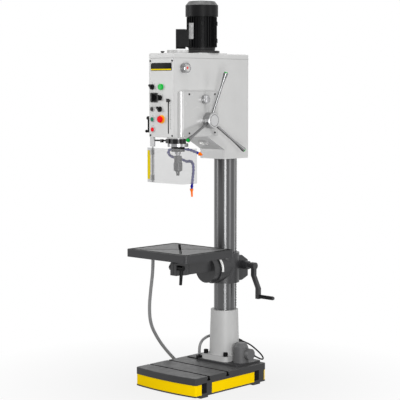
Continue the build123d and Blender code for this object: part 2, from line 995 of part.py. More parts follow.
# Head casting: hollow in front for the feed and the gears, bored for the column behind
head = prism_x(
    [
        (-head_front, head_under),
        (-slope_start, head_under),
        (-block_front, slope_low),
        (-block_front, block_low),
        (head_rear, block_low),
        (head_rear, head_seam),
        (-head_front, head_seam),
    ],
    -head_half,
    head_half,
)
head = fillet(head.edges().filter_by(Axis.Z).group_by(Axis.Y)[-1], head_rear_r)
inner_x = head_half - head_wall
cavity_front = -head_front + head_wall
cavity_rear = -block_front - head_wall
slope_fall = (head_under - slope_low) / (slope_start - block_front)
cavity_floor = head_under + head_wall
cavity_low = cavity_floor - slope_fall * (slope_start - block_front - 2 * head_wall)
head -= prism_x(
    [
        (cavity_front, cavity_floor),
        (-slope_start + head_wall, cavity_floor),
        (cavity_rear, cavity_low),
        (cavity_rear, head_seam + 1),
        (cavity_front, head_seam + 1),
    ],
    -inner_x,
    inner_x,
)
head += block(-inner_x - 1, inner_x + 1, cavity_front - 1, cavity_rear + 1, web_low, web_high)
head += disc_z(0, spindle_y, boss_low, web_low + 1, boss_r)
head -= block(
    -inner_x,
    inner_x,
    -block_front + head_wall,
    head_rear - head_wall,
    column_top + 2 * head_wall,
    head_seam + 1,
)
head -= disc_z(0, 0, block_low - 1, column_top, column_r + fixed_gap)
head -= disc_z(0, spindle_y, boss_low - 1, quill_high + 1, quill_r + running_fit)
bearing_r = shaft_r + bearing_ring
sleeve_bearing_r = sleeve_r + bearing_ring
head -= disc_z(0, spindle_y, web_low - 5, web_high + 1, sleeve_bearing_r + fixed_gap)
head -= disc_z(0, middle_y, web_low - 1, web_high + 1, bearing_r + fixed_gap)
head -= disc_z(0, motor_y, web_low - 1, web_high + 1, bearing_r + fixed_gap)
feed_tip = feed_r + feed_addendum
slot_half = feed_wide / 2 + pass_gap
head -= disc_x(-slot_half, slot_half, feed_y, feed_z, feed_tip + pass_gap)
head += disc_x(-inner_x - 1, -inner_x + 14, feed_y, feed_z, 2 * feed_shaft_r)
shaft_end = -inner_x - head_wall / 2
head -= disc_x(
    shaft_end - pass_gap,
    head_half + 1,
    feed_y,
    feed_z,
    feed_shaft_r + running_fit,
)
head -= disc_x(inner_x - 1, head_half + 1, knob_y, knob_z, knob_shaft_r + running_fit)
head -= disc_x(inner_x - 1, head_half + 1, sight_y, sight_z, sight_window_r)
head -= disc_x(-head_half - 1, -inner_x + 1, lever_y, lever_z, lever_shaft_r + running_fit)
head -= block(
    -panel_bay_half,
    panel_bay_half,
    -head_front - 1,
    cavity_front + 1,
    head_under + panel_bay_margin,
    head_seam - panel_bay_margin,
)
lamp_z = head_under - slope_fall * (lamp_y + slope_start)
lamp_plane = Plane(
    origin=(0, lamp_y, lamp_z),
    x_dir=(1, 0, 0),
    z_dir=(0, -slope_fall, -1),
)
lamp_opening = Ellipse(lamp_half_x - lamp_rim + fixed_gap, lamp_half_y - lamp_rim + fixed_gap)
head -= extrude(lamp_plane.offset(-3 * head_wall) * lamp_opening, amount=4 * head_wall)
for x in (-panel_screw_x, panel_screw_x):
    for z in panel_screw_z:
        head -= disc_y(x, -head_front - 1, panel_face + screw_long, z, screw_r + fixed_gap)
for y in feed_screw_y:
    for z in feed_screw_z:
        head -= disc_x(head_half - head_wall, head_half + 1, y, z, screw_r + fixed_gap)
save("head_casting", head)

# Top cover with the round spindle cap and the upper bearing seats
cover = block(-head_half, head_half, panel_face, head_rear, head_seam, head_top)
cover = fillet(cover.edges().filter_by(Axis.Z).group_by(Axis.Y)[-1], head_rear_r)
cover = fillet(cover.faces().sort_by(Axis.Z)[-1].edges(), cover_edge_r)
cover = chamfer(cover.faces().sort_by(Axis.Z)[0].edges(), cover_seam)
roof = head_top - head_wall
cover -= block(-inner_x, inner_x, cavity_front, head_rear - head_wall, head_seam - 1, roof)
cover += block(
    -head_half + cover_edge_r,
    head_half - cover_edge_r,
    motor_y - motor_pad_half,
    motor_y + motor_pad_half,
    head_top - 1,
    motor_seat,
)
cover += disc_z(0, spindle_y, head_top - 1, head_top + cap_high, cap_r)
seat_low = roof - bearing_wide - 6
cover += disc_z(0, spindle_y, seat_low, roof + 1, sleeve_bearing_r + 8)
cover += disc_z(0, middle_y, seat_low, roof + 1, bearing_r + 8)
cover -= disc_z(0, spindle_y, seat_low - 1, head_top + cap_high - cap_wall, sleeve_bearing_r + fixed_gap)
cover -= disc_z(0, middle_y, seat_low - 1, roof, bearing_r + fixed_gap)
cover -= disc_z(0, motor_y, roof - 30, motor_seat + 1, motor_spigot_r + fixed_gap)
save("head_top_cover", cover)

# Bearings of the motor shaft, the middle shaft and the spindle sleeve
seat = roof - bearing_wide


def bearing(y, z0, inside):
    ring = disc_z(0, y, z0, z0 + bearing_wide, inside + bearing_ring)
    ring -= disc_z(0, y, z0 - 1, z0 + bearing_wide + 1, inside + running_fit)
    return ring


bearings = [
    bearing(spindle_y, web_low + 1, sleeve_r),
    bearing(spindle_y, seat, sleeve_r),
    bearing(middle_y, web_low + 1, shaft_r),
    bearing(middle_y, seat, shaft_r),
    bearing(motor_y, web_low + 1, shaft_r),
    bearing(motor_y, motor_seat + 1, shaft_r),
    bearing(motor_y, motor_body_top - bearing_wide - 1, shaft_r),
]
save("shaft_bearings", Compound(children=bearings))

# Control panel with holes for the switches and the slot of the depth pointer
panel = block(-head_half, head_half, panel_face, -head_front, panel_low, panel_high)
for x, z in button_places + [stop_place]:
    panel -= disc_y(x, panel_face - 1, -head_front + 1, z, button_r + pass_gap)
for x, z in selector_places + [main_place]:
    panel -= disc_y(x, panel_face - 1, -head_front + 1, z, stem_r + pass_gap)
depth_half = depth_slot_width / 2
panel -= block(
    depth_x - depth_half,
    depth_x + depth_half,
    panel_face - 1,
    -head_front + 1,
    depth_slot_low,
    pointer_z + pointer_stem + 2,
)
for x in (-panel_screw_x, panel_screw_x):
    for z in panel_screw_z:
        panel -= disc_y(x, panel_face - 1, -head_front + 1, z, screw_r + fixed_gap)
save("control_panel", panel)

# Bezels of the switches, with the body of the pilot lamp
bezels = []
for x, z in button_places:
    ring = disc_y(x, panel_face - bezel_high, panel_face, z, bezel_r)
    ring = chamfer(ring.faces().sort_by(Axis.Y)[0].edges(), bezel_edge)
    ring -= disc_y(x, panel_face - bezel_high - 1, panel_face + 1, z, button_r + pass_gap)
    bezels.append(ring)
for x, z in selector_places:
    ring = disc_y(x, panel_face - bezel_high, panel_face, z, bezel_r)
    ring = chamfer(ring.faces().sort_by(Axis.Y)[0].edges(), bezel_edge)
    ring -= disc_y(x, panel_face - bezel_high - 1, panel_face + 1, z, stem_r + pass_gap)
    bezels.append(ring)
main_x, main_z = main_place
half = main_plate / 2
plate = block(
    main_x - half,
    main_x + half,
    panel_face - main_plate_high,
    panel_face,
    main_z - half,
    main_z + half,
)
plate = fillet(plate.edges().filter_by(Axis.Y), main_plate_r)
plate -= disc_y(main_x, panel_face - main_plate_high - 1, panel_face + 1, main_z, stem_r + pass_gap)
bezels.append(plate)
pilot_x, pilot_z = pilot_place
pilot = disc_y(pilot_x, panel_face - pilot_high, panel_face, pilot_z, pilot_r)
bezels.append(chamfer(pilot.faces().sort_by(Axis.Y)[0].edges(), pilot_edge))
stop_x, stop_z = stop_place
ring = disc_y(stop_x, panel_face - stop_ring_high, panel_face, stop_z, stop_ring_r)
ring -= disc_y(stop_x, panel_face - stop_ring_high - 1, panel_face + 1, stop_z, button_r + pass_gap)
bezels.append(ring)
save("switch_bezels", Compound(children=bezels))

# Push buttons, emergency stop, selectors and main switch
for name, (x, z) in zip(("black", "green", "red"), button_places):
    cap_face = panel_face - button_proud
    button = disc_y(x, cap_face, -head_front, z, button_r)
    button = fillet(button.faces().sort_by(Axis.Y)[0].edges(), button_edge_r)
    button += disc_y(x, -head_front - 1, -head_front + switch_depth - button_stroke, z, stem_r)
    save(f"button_{name}", button)
head_face = panel_face - stop_ring_high - stop_neck
stop = disc_y(stop_x, head_face - stop_head_high, head_face, stop_z, stop_head_r)
stop = fillet(stop.faces().sort_by(Axis.Y)[0].edges(), stop_edge_r)
stop += disc_y(stop_x, head_face - 1, -head_front, stop_z, button_r)
stop += disc_y(stop_x, -head_front - 1, -head_front + switch_depth - stop_stroke, stop_z, stem_r)
save("estop_button", stop)
for number, ((x, z), turn) in enumerate(zip(selector_places, selector_turns), 1):
    low = panel_face - bezel_high - pass_gap
    high = low - selector_disc_high
    knob = disc_y(x, high, low, z, selector_r)
    bar = block(
        -selector_bar_width / 2,
        selector_bar_width / 2,
        high - selector_bar_high,
        high + 1,
        -selector_bar_long / 2,
        selector_bar_long / 2,
    )
    knob += Pos(x, 0, z) * Rot(0, turn, 0) * bar
    knob += disc_y(x, low - 1, -head_front + switch_depth, z, stem_r)
    save(f"selector_{number}", knob)
low = panel_face - main_plate_high - pass_gap
high = low - selector_disc_high
main = disc_y(main_x, high, low, main_z, main_disc_r)
main_bar = block(
    main_x - main_bar_width / 2,
    main_x + main_bar_width / 2,
    high - main_bar_high,
    high + 1,
    main_z - main_bar_long / 2,
    main_z + main_bar_long / 2,
)
main += fillet(main_bar.edges().filter_by(Axis.Y), main_bar_width / 2 - 0.5)
main += disc_y(main_x, low - 1, -head_front + switch_depth, main_z, stem_r)
save("main_switch", main)

# Depth pointer, in its slot
stem_half = depth_slot_width / 2 - pass_gap
pointer = block(
    depth_x - stem_half,
    depth_x + stem_half,
    panel_face - pass_gap - 1,
    -head_front + 6,
    pointer_z - pointer_stem,
    pointer_z + pointer_stem,
)
pointer += prism_y(
    [
        (depth_x - 8, pointer_z - 9),
        (depth_x + 6, pointer_z - 9),
        (depth_x + 14, pointer_z),
        (depth_x + 6, pointer_z + 9),
        (depth_x - 8, pointer_z + 9),
    ],
    panel_face - pass_gap - pointer_proud,
    panel_face - pass_gap,
)
save("depth_pointer", pointer)

# Feed cover on the right, its knob, the sight glass and the gear lever on the left
feed_cover = block(
    head_half,
    feed_cover_out,
    -feed_cover_front,
    -feed_cover_back,
    feed_cover_low,
    feed_cover_high,
)
outer = feed_cover.edges().filter_by(Axis.Z).group_by(Axis.X)[-1]
feed_cover = fillet(outer.sort_by(Axis.Y)[0], feed_cover_r)
feed_cover -= block(
    head_half - 1,
    feed_cover_out - feed_cover_wall,
    -feed_cover_front + feed_cover_r,
    -feed_cover_back - 4 * feed_cover_wall,
    feed_cover_low + 5 * feed_cover_wall,
    feed_cover_high - 5 * feed_cover_wall,
)
feed_cover -= disc_x(head_half - 1, feed_cover_out + 1, feed_y, feed_z, feed_shaft_r + running_fit)
feed_cover -= disc_x(head_half - 1, feed_cover_out + 1, knob_y, knob_z, knob_shaft_r + running_fit)
screws = []
feed_screw_long = feed_cover_out - head_half + head_wall - 1
for y in feed_screw_y:
    for z in feed_screw_z:
        feed_cover -= disc_x(head_half - 1, feed_cover_out + 1, y, z, screw_r + fixed_gap)
        screw = disc_x(feed_cover_out, feed_cover_out + screw_head_high, y, z, screw_head_r)
        screw = fillet(screw.faces().sort_by(Axis.X)[-1].edges(), screw_edge_r)
        screw += disc_x(feed_cover_out - feed_screw_long, feed_cover_out + 1, y, z, screw_r)
        slot_x = feed_cover_out + screw_head_high
        screw -= block(slot_x - screw_slot, slot_x + 1, y - screw_head_r, y + screw_head_r, z - 0.6, z + 0.6)
        screws.append(screw)
for x in (-panel_screw_x, panel_screw_x):
    for z in panel_screw_z:
        screw = disc_y(x, panel_face - screw_head_high, panel_face, z, screw_head_r)
        screw = fillet(screw.faces().sort_by(Axis.Y)[0].edges(), screw_edge_r)
        screw += disc_y(x, panel_face - 1, panel_face + screw_long, z, screw_r)
        slot_y = panel_face - screw_head_high
        screw -= block(x - screw_head_r, x + screw_head_r, slot_y - 1, slot_y + screw_slot, z - 0.6, z + 0.6)
        screws.append(screw)
save("feed_cover", feed_cover)
save("cover_screws", Compound(children=screws))
knob_base = feed_cover_out + pass_gap
knob = disc_x(knob_base, knob_base + knob_disc_high, knob_y, knob_z, knob_r)
knob = fillet(knob.faces().sort_by(Axis.X)[-1].edges(), knob_edge_r)
knob += block(
    knob_base + knob_disc_high - 1,
    knob_base + knob_disc_high + knob_bar_high,
    knob_y - knob_bar_width / 2,
    knob_y + knob_bar_width / 2,
    knob_z - knob_r + 3,
    knob_z + knob_r - 3,
)
knob += disc_x(inner_x, knob_base + 1, knob_y, knob_z, knob_shaft_r)
save("feed_knob", knob)
sight = disc_x(head_half, head_half + sight_high, sight_y, sight_z, sight_r)
sight = chamfer(sight.faces().sort_by(Axis.X)[-1].edges(), sight_edge)
sight -= disc_x(head_half + sight_high - 4, head_half + sight_high + 1, sight_y, sight_z, sight_window_r)
sight += disc_x(inner_x, head_half + 1, sight_y, sight_z, sight_window_r - fixed_gap)
save("sight_glass", sight)
lever_base = -head_half - pass_gap
lever = disc_x(-lever_hub_out, lever_base, lever_y, lever_z, lever_hub_r)
lever = fillet(lever.faces().sort_by(Axis.X)[0].edges(), lever_edge_r)
lever += disc_x(lever_base - 1, -inner_x, lever_y, lever_z, lever_shaft_r)
lever_mid = -lever_hub_out + lever_arm_r + 4
lever_end = lever_z - lever_arm_long
lever_tip = lever_end - lever_pin_r - lever_pin_rim
lever += between((lever_mid, lever_y, lever_z), (lever_mid, lever_y, lever_tip), lever_arm_r)
knob_x = -lever_knob_out + lever_knob_r
lever += between((lever_mid, lever_y, lever_end), (knob_x, lever_y, lever_end), lever_pin_r)
ball = disc_x(-lever_knob_out, knob_x + lever_knob_r, lever_y, lever_end, lever_knob_r)
lever += fillet(ball.edges().filter_by(GeomType.CIRCLE), lever_knob_edge_r)
save("gear_lever", lever)

# Work lamp in the sloping underside
lamp_body = Ellipse(lamp_half_x - lamp_rim, lamp_half_y - lamp_rim)
lamp_bezel = Ellipse(lamp_half_x, lamp_half_y)
lamp = extrude(lamp_plane.offset(-lamp_deep) * lamp_body, amount=lamp_deep + 1)
lamp += extrude(lamp_plane * lamp_bezel, amount=lamp_proud)
lamp_dish = Ellipse(lamp_half_x - 2 * lamp_rim, lamp_half_y - 2 * lamp_rim)
lamp -= extrude(lamp_plane.offset(-lamp_rim) * lamp_dish, amount=lamp_rim + lamp_proud + 1)
save("work_lamp", lamp)

# Feed hub: hub, shaft and feed wheel
hub_base = feed_cover_out + pass_gap
hub_face = hub_base + hub_long
hub = disc_x(hub_base, hub_face, feed_y, feed_z, hub_r)
hub = chamfer(hub.faces().sort_by(Axis.X)[-1].edges(), hub_edge)
hub += disc_x(shaft_end, hub_base + 1, feed_y, feed_z, feed_shaft_r)
wheel = gear_x(
    -feed_wide / 2,
    feed_wide / 2,
    feed_y,
    feed_z,
    gear_points(feed_module, feed_teeth, feed_addendum, feed_dedendum, math.pi),
)
hub += wheel
handles = []
caps = []
for degrees in handle_angles:
    turn = math.radians(degrees)

    def spot(radius, x):
        return (x, feed_y + radius * math.cos(turn), feed_z + radius * math.sin(turn))

    share = handle_thick_share
    mid_r = handle_root_r + share * (handle_end_r - handle_root_r)
    mid_x = handle_root_x + share * (handle_end_x - handle_root_x)
    hub -= between(spot(handle_root_r, handle_root_x), spot(mid_r, mid_x), handle_thin_r + fixed_gap)
    stick = between(spot(handle_root_r, handle_root_x), spot(mid_r, mid_x), handle_thin_r)
    stick += taper_between(spot(mid_r, mid_x), spot(handle_end_r, handle_end_x), handle_thin_r, handle_thick_r)
    handles.append(stick)
    lean = (handle_end_x - handle_root_x) / (handle_end_r - handle_root_r)
    cap_end = spot(handle_end_r + handle_cap_high, handle_end_x + handle_cap_high * lean)
    caps.append(between(spot(handle_end_r, handle_end_x), cap_end, handle_cap_r))
save("feed_hub", hub)
save("feed_handles", Compound(children=handles))
save("handle_caps", Compound(children=caps))

# Quill with its rack, the ring and the coolant ring below it
quill = disc_z(0, spindle_y, quill_low, quill_high, quill_r)
quill -= disc_z(0, spindle_y, quill_low - 1, quill_high + 1, spindle_r + running_fit)
quill -= disc_z(0, spindle_y, quill_low + quill_land, quill_high - quill_land, quill_bore_r)
quill_pitch_y = feed_y - feed_r
rack_start = feed_z - 0.42 * feed_r
edge = rack_edge(
    feed_module,
    quill_pitch_y,
    quill_rack_addendum,
    quill_rack_dedendum,
    feed_z,
    rack_start,
    quill_high + 1,
)
outside_y = spindle_y + quill_r + 5
quill -= prism_x(
    [(outside_y, rack_start)] + edge + [(outside_y, quill_high + 1)],
    -slot_half,
    slot_half,
)
save("quill", quill)
quill_ring = disc_z(0, spindle_y, quill_low, quill_low + ring_high, ring_r)
quill_ring = chamfer(quill_ring.edges().filter_by(GeomType.CIRCLE), quill_ring_edge)
quill_ring -= disc_z(0, spindle_y, quill_low - 1, quill_low + ring_high + 1, quill_r + fixed_gap)
save("quill_ring", quill_ring)
coolant_low = quill_low - coolant_ring_high
coolant_ring = disc_z(0, spindle_y, coolant_low, quill_low, coolant_ring_r)
coolant_ring -= disc_z(0, spindle_y, coolant_low - 1, quill_low + 1, coolant_ring_bore_r)

# Jointed coolant arms and nozzles
first_arm = jointed_arm(first_arm_line)
second_arm = jointed_arm(second_arm_line)
ring_hull = disc_z(0, spindle_y, coolant_low, quill_low, coolant_ring_r)
first_arm -= ring_hull
second_arm -= ring_hull
save("coolant_ring", coolant_ring)
save("coolant_arms", Compound(children=[first_arm, second_arm]))


def nozzle(line, tip, arm):
    start = Vector(*line[-1])
    along = (Vector(*tip) - start).normalized()
    funnel_end = start + along * nozzle_collar_long
    piece = taper_between(line[-1], funnel_end, nozzle_collar_r, nozzle_base_r)
    piece += taper_between(line[-1], tip, nozzle_base_r, nozzle_tip_r)
    return piece - arm


nozzles = [
    nozzle(first_arm_line, first_nozzle_tip, first_arm),
    nozzle(second_arm_line, second_nozzle_tip, second_arm),
]
save("coolant_nozzles", Compound(children=nozzles))

# Guard: rod with its collar on the quill, post with hinge pin, clear shield
rod_start_x = guard_pin_x + post_half_x - 14
rod_slope = (rod_end_y - guard_pin_y) / (rod_end_x - guard_pin_x)
rod_start_y = guard_pin_y + rod_slope * (rod_start_x - guard_pin_x)
rod_mid_x = (guard_pin_x + post_half_x + rod_end_x) / 2
rod_mid_y = guard_pin_y + rod_slope * (rod_mid_x - guard_pin_x)
ring_top = quill_low + ring_high
rod = between((rod_start_x, rod_start_y, rod_z), (rod_end_x, rod_end_y, rod_z), rod_r)
rod += block(
    rod_end_x - rod_clamp_half,
    rod_end_x + rod_clamp_half,
    rod_end_y - rod_clamp_half,
    rod_end_y + rod_clamp_half,
    ring_top,
    ring_top + rod_clamp_high,
)
rod += block(
    rod_mid_x - rod_block_half,
    rod_mid_x + rod_block_half,
    rod_mid_y - rod_block_half,
    rod_mid_y + rod_block_half,
    rod_z - 1.5 * rod_block_half,
    rod_z + rod_block_half,
)
rod += disc_z(0, spindle_y, ring_top, ring_top + rod_clamp_high, rod_collar_r)
rod -= disc_z(0, spindle_y, ring_top - 1, ring_top + rod_clamp_high + 1, quill_r + fixed_gap)
save("guard_rod", rod)
post = block(
    guard_pin_x - post_half_x,
    guard_pin_x + post_half_x,
    guard_pin_y - post_half_y,
    guard_pin_y + post_half_y,
    post_low,
    post_high,
)
post = fillet(post.edges().filter_by(Axis.Z), post_edge_r)
post -= between((rod_start_x, rod_start_y, rod_z), (rod_end_x, rod_end_y, rod_z), rod_r + fixed_gap)
post += disc_z(guard_pin_x, guard_pin_y, guard_low, post_low + 1, guard_pin_r)
save("guard_post", post)
wing = math.radians(guard_wing_angle)
wing_x = -guard_left - guard_wing * math.cos(wing)
wing_y = guard_y + guard_wing * math.sin(wing)
sheet_line = Polyline(
    (wing_x, wing_y),
    (-guard_left, guard_y),
    (guard_right, guard_y),
    (guard_right, guard_y + guard_side),
)
sheet_face = make_face(offset(sheet_line, amount=guard_sheet / 2, side=Side.BOTH))
shield = Pos(0, 0, guard_low) * extrude(sheet_face, amount=guard_high - guard_low, dir=(0, 0, 1))
lug_y = guard_y + (-guard_left - guard_pin_x) * math.tan(wing)
for z in (guard_low + 10, guard_high - 40):
    lug = block(guard_pin_x - 8, guard_pin_x + 8, lug_y - 1, guard_pin_y, z, z + 30)
    shield += lug
    shield += disc_z(guard_pin_x, guard_pin_y, z, z + 30, guard_sleeve_r)
    shield -= disc_z(guard_pin_x, guard_pin_y, z - 1, z + 31, guard_pin_r + running_fit)
save("guard_shield", shield)

# Spindle: arbor, journal and splined top
spindle = disc_z(0, spindle_y, nose_low, quill_high, spindle_r)
spindle += disc_z(0, spindle_y, nose_low - arbor_long, nose_low + 1, arbor_r)
spindle += disc_z(0, spindle_y, quill_high - 1, spindle_high, spline_r)


def spline_ribs(z0, z1, tip, width):
    ribs = []
    for n in range(spline_count):
        rib = block(0, tip, -width / 2, width / 2, z0, z1)
        ribs.append(Pos(0, spindle_y, 0) * Rot(0, 0, n * 360 / spline_count) * rib)
    return ribs


for rib in spline_ribs(quill_high - 1, spindle_high, spline_tip_r, spline_width):
    spindle += rib
save("spindle", spindle)

# Spindle gear on its splined sleeve
seat_top = roof - 1
spindle_gear = disc_z(0, spindle_y, web_low + 1, seat_top, sleeve_r)
spindle_gear += gear_z(
    0,
    gear_train_y,
    level_low,
    level_low + gear_wide,
    gear_points(
        gear_module,
        spindle_teeth,
        gear_module,
        1.25 * gear_module,
        math.pi / 2 + math.pi / spindle_teeth,
    ),
)
spindle_gear -= disc_z(0, spindle_y, web_low - 1, seat_top + 1, spline_r + pass_gap)
for rib in spline_ribs(web_low - 1, seat_top + 1, spline_tip_r + pass_gap, spline_width + 2 * pass_gap):
    spindle_gear -= rib
save("spindle_gear", spindle_gear)

# Middle shaft with its two gears
middle = disc_z(0, middle_y, web_low + 1, seat_top, shaft_r)
middle += gear_z(
    0,
    middle_y,
    level_low,
    level_low + gear_wide,
    gear_points(gear_module, small_teeth, gear_module, 1.25 * gear_module, -math.pi / 2),
)
middle += gear_z(
    0,
    middle_y,
    level_high,
    level_high + gear_wide,
    gear_points(gear_module, big_teeth, gear_module, 1.25 * gear_module, math.pi / 2 + math.pi / big_teeth),
)
save("intermediate_gears", middle)

# Motor rotor: shaft, pinion, core and fan
fan_low = motor_body_top + 8
rotor = disc_z(0, motor_y, web_low + 1, fan_low + fan_high, shaft_r)
rotor += gear_z(
    0,
    motor_y,
    level_high,
    level_high + gear_wide,
    gear_points(gear_module, motor_teeth, gear_module, 1.25 * gear_module, -math.pi / 2),
)
core_low = motor_body_low + 14
core_high = motor_body_top - 30
rotor += disc_z(0, motor_y, core_low, core_high, motor_bore_r - rotor_air_gap)
rotor += disc_z(0, motor_y, fan_low, fan_low + 4, fan_r)
for n in range(fan_blades):
    blade = block(shaft_r - 1, fan_r, -1.5, 1.5, fan_low + 3, fan_low + fan_high)
    rotor += Pos(0, motor_y, 0) * Rot(0, 0, n * 360 / fan_blades) * blade
save("motor_rotor", rotor)

# Motor body with flange, collar, fins and the seat of the terminal box
motor = disc_z(0, motor_y, motor_seat, motor_low, motor_flange_r)
motor = fillet(motor.faces().sort_by(Axis.Z)[-1].edges(), motor_edge_r)
motor += disc_z(0, motor_y, roof, motor_seat + 1, motor_spigot_r)
motor += taper_z(0, motor_y, motor_low, motor_body_low, motor_collar_r, motor_core_r)
motor += disc_z(0, motor_y, motor_body_low, motor_body_top, motor_core_r)
fin_top = motor_body_top - motor_lip_high - 3
for n in range(motor_fin_count):
    half = motor_fin_thick / 2
    fin = block(motor_core_r - 3, motor_fin_r, -half, half, motor_body_low, fin_top)
    motor += Pos(0, motor_y, 0) * Rot(0, 0, n * 360 / motor_fin_count) * fin
lip_low = motor_body_top - motor_lip_high
motor += disc_z(0, motor_y, lip_low, motor_body_top, cowl_r - cowl_wall - fixed_gap)
for degrees in (45, 135, 315):
    for z in (motor_body_low + 24, fin_top - 24 - boss_block_high):
        half = boss_block_width / 2
        lump = block(motor_core_r - 3, motor_fin_r + 3, -half, half, z, z + boss_block_high)
        motor += Pos(0, motor_y, 0) * Rot(0, 0, degrees) * lump
half = box_width / 2 - 4
seat_block = block(motor_core_r - 30, box_near, -half, half, motor_body_low + 2, box_low + box_high - 2)
motor += Pos(0, motor_y, 0) * Rot(0, 0, box_angle) * seat_block
motor -= disc_z(0, motor_y, core_low - 6, core_high + 6, motor_bore_r)
motor -= disc_z(0, motor_y, roof - 1, motor_body_top + 1, shaft_r + 2)
motor -= disc_z(0, motor_y, roof - 1, motor_seat + 1 + bearing_wide, bearing_r + fixed_gap)
motor -= disc_z(0, motor_y, motor_body_top - bearing_wide - 1, motor_body_top + 1, bearing_r + fixed_gap)
save("motor_body", motor)

# Fan cowl with a slotted top
cowl_points = [
    (cowl_r, lip_low),
    (cowl_r, cowl_top),
    (cowl_cone_r, cowl_top + cowl_cone_high),
    (0, cowl_top + cowl_cone_high + cowl_dome_high),
    (0, cowl_top + cowl_cone_high + cowl_dome_high - cowl_wall),
    (cowl_cone_r - cowl_wall, cowl_top + cowl_cone_high - cowl_wall),
    (cowl_r - cowl_wall, cowl_top),
    (cowl_r - cowl_wall, lip_low),
]
cowl_face = Plane.XZ * Polygon(*cowl_points, align=None)
cowl = Pos(0, motor_y, 0) * revolve(cowl_face, axis=Axis.Z)
half = cowl_slot_width / 2
for n in range(cowl_slot_count):
    slot = block(cowl_slot_in, cowl_slot_out, -half, half, cowl_top, cowl_top + cowl_cone_high + 20)
    cowl -= Pos(0, motor_y, 0) * Rot(0, 0, n * 360 / cowl_slot_count) * slot
save("fan_cowl", cowl)

# Terminal box on the motor
half = box_width / 2
box = block(box_near, box_far, -half, half, box_low, box_low + box_high)
box = fillet(box.edges().filter_by(Axis.X), terminal_edge_r)
lid_x = box_far - box_lid
groove = block(lid_x - 1, lid_x + 1, -half - 1, half + 1, box_low - 1, box_low + box_high + 1)
groove -= block(lid_x - 2, lid_x + 2, -half + 1, half - 1, box_low + 1, box_low + box_high - 1)
box -= groove
box = Pos(0, motor_y, 0) * Rot(0, 0, box_angle) * box
save("terminal_box", box)

# Chuck: body, turning sleeve and three sloping jaws
chuck = disc_z(0, spindle_y, chuck_step, chuck_high, chuck_r)
chuck = fillet(chuck.faces().sort_by(Axis.Z)[-1].edges(), chuck_top_edge_r)
chuck += disc_z(0, spindle_y, chuck_core_low, chuck_step + 1, chuck_core_r)
chuck = chamfer(chuck.faces().sort_by(Axis.Z)[0].edges(), chuck_low_edge)
chuck -= disc_z(0, spindle_y, nose_low - arbor_long - 1, chuck_high + 1, arbor_r + fixed_gap)
jaws = []
for n in range(3):
    turn = math.radians(90 + 120 * n)
    out = Vector(math.cos(turn), math.sin(turn), 0)
    top = Vector(0, spindle_y, jaw_top) + out * jaw_top_axis_r
    tip = Vector(0, spindle_y, jaw_tip) + out * jaw_tip_axis_r
    along = (tip - top).normalized()
    above = top - along * (jaw_travel + 2)
    hole = between((above.X, above.Y, above.Z), (tip.X, tip.Y, tip.Z), jaw_r + running_fit)
    chuck -= hole
    jaw = between((top.X, top.Y, top.Z), (tip.X, tip.Y, tip.Z), jaw_r)
    jaw = chamfer(jaw.faces().sort_by(Axis.Z)[0].edges(), jaw_edge)
    save(f"chuck_jaw_{n + 1}", jaw)
save("chuck_body", chuck)
chuck_sleeve = disc_z(0, spindle_y, sleeve_low, chuck_step - pass_gap, sleeve_outer_r)
chuck_sleeve = chamfer(chuck_sleeve.edges().filter_by(GeomType.CIRCLE), sleeve_edge)
chuck_sleeve -= disc_z(0, spindle_y, sleeve_low - 1, chuck_step, chuck_core_r + running_fit)
for n in range(knurl_count):
    turn = 2 * math.pi * n / knurl_count
    x = (sleeve_outer_r + knurl_r / 2) * math.cos(turn)
    y = spindle_y + (sleeve_outer_r + knurl_r / 2) * math.sin(turn)
    chuck_sleeve -= disc_z(x, y, sleeve_low + 5, chuck_step - 6, knurl_r)
save("chuck_sleeve", chuck_sleeve)

# Coolant pump: stem in the tank, body, domed top and side terminal box
pump_top = pad_top + pump_high
pump = disc_z(pump_x, pump_y, pad_top, pump_top, pump_r)
dome = taper_z(pump_x, pump_y, pump_top, pump_top + pump_dome_high, pump_r, pump_r - 10)
pump += fillet(dome.faces().sort_by(Axis.Z)[-1].edges(), pump_dome_edge_r)
pump += disc_x(pump_x, pump_x + pump_box_long, pump_box_y, pump_box_z, pump_box_r)
pump += disc_z(pump_x, pump_y, pad_top - pump_stem_long, pad_top + 1, pump_stem_r)
save("coolant_pump", pump)

# Hoses and cable
save("supply_hose", line_tube(supply_line, supply_r, hose_bore_r))
save("drain_hose", line_tube(drain_line, drain_r, hose_bore_r))
save("pump_cable", line_tube(cable_line, cable_r, 0))


# Glands and hose fittings
def beyond(line, reach):
    a = Vector(*line[-2])
    b = Vector(*line[-1])
    end = b + (b - a).normalized() * reach
    return (end.X, end.Y, end.Z)


fittings = []
sx, sy, sz = supply_line[0]
riser = block(sx - riser_half, -pad_left - pass_gap, sy - riser_half, sy + riser_half, base_top, sz - 8)
riser += disc_z(sx, sy, sz - 9, sz, spout_r)
riser += block(sx - 84, sx - 12, sy - 12, sy + 12, base_top, base_top + 5)
fittings.append(riser)
fittings.append(between(supply_line[-1], beyond(supply_line, 30), spout_r) - pump)
elbow = beyond(drain_line, 24)
drain_fitting = between(drain_line[-1], elbow, spout_r)
drain_fitting += disc_x(elbow[0] - 12, -base_half_width + band_depth, elbow[1], elbow[2], 12)
fittings.append(drain_fitting - base)
fittings.append(between(cable_line[0], beyond(cable_line[1::-1], 40), spout_r) - pump)
fittings.append(between(cable_line[-1], beyond(cable_line, 40), spout_r) - foot - column)
half = box_width / 2
gland = disc_y((box_near + box_far) / 2, -half - gland_long, -half, box_low + box_high / 2, gland_r)
gland = chamfer(gland.faces().sort_by(Axis.Y)[0].edges(), gland_edge)
fittings.append(Pos(0, motor_y, 0) * Rot(0, 0, box_angle) * gland)
save("hose_fittings", Compound(children=fittings))
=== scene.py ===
import math

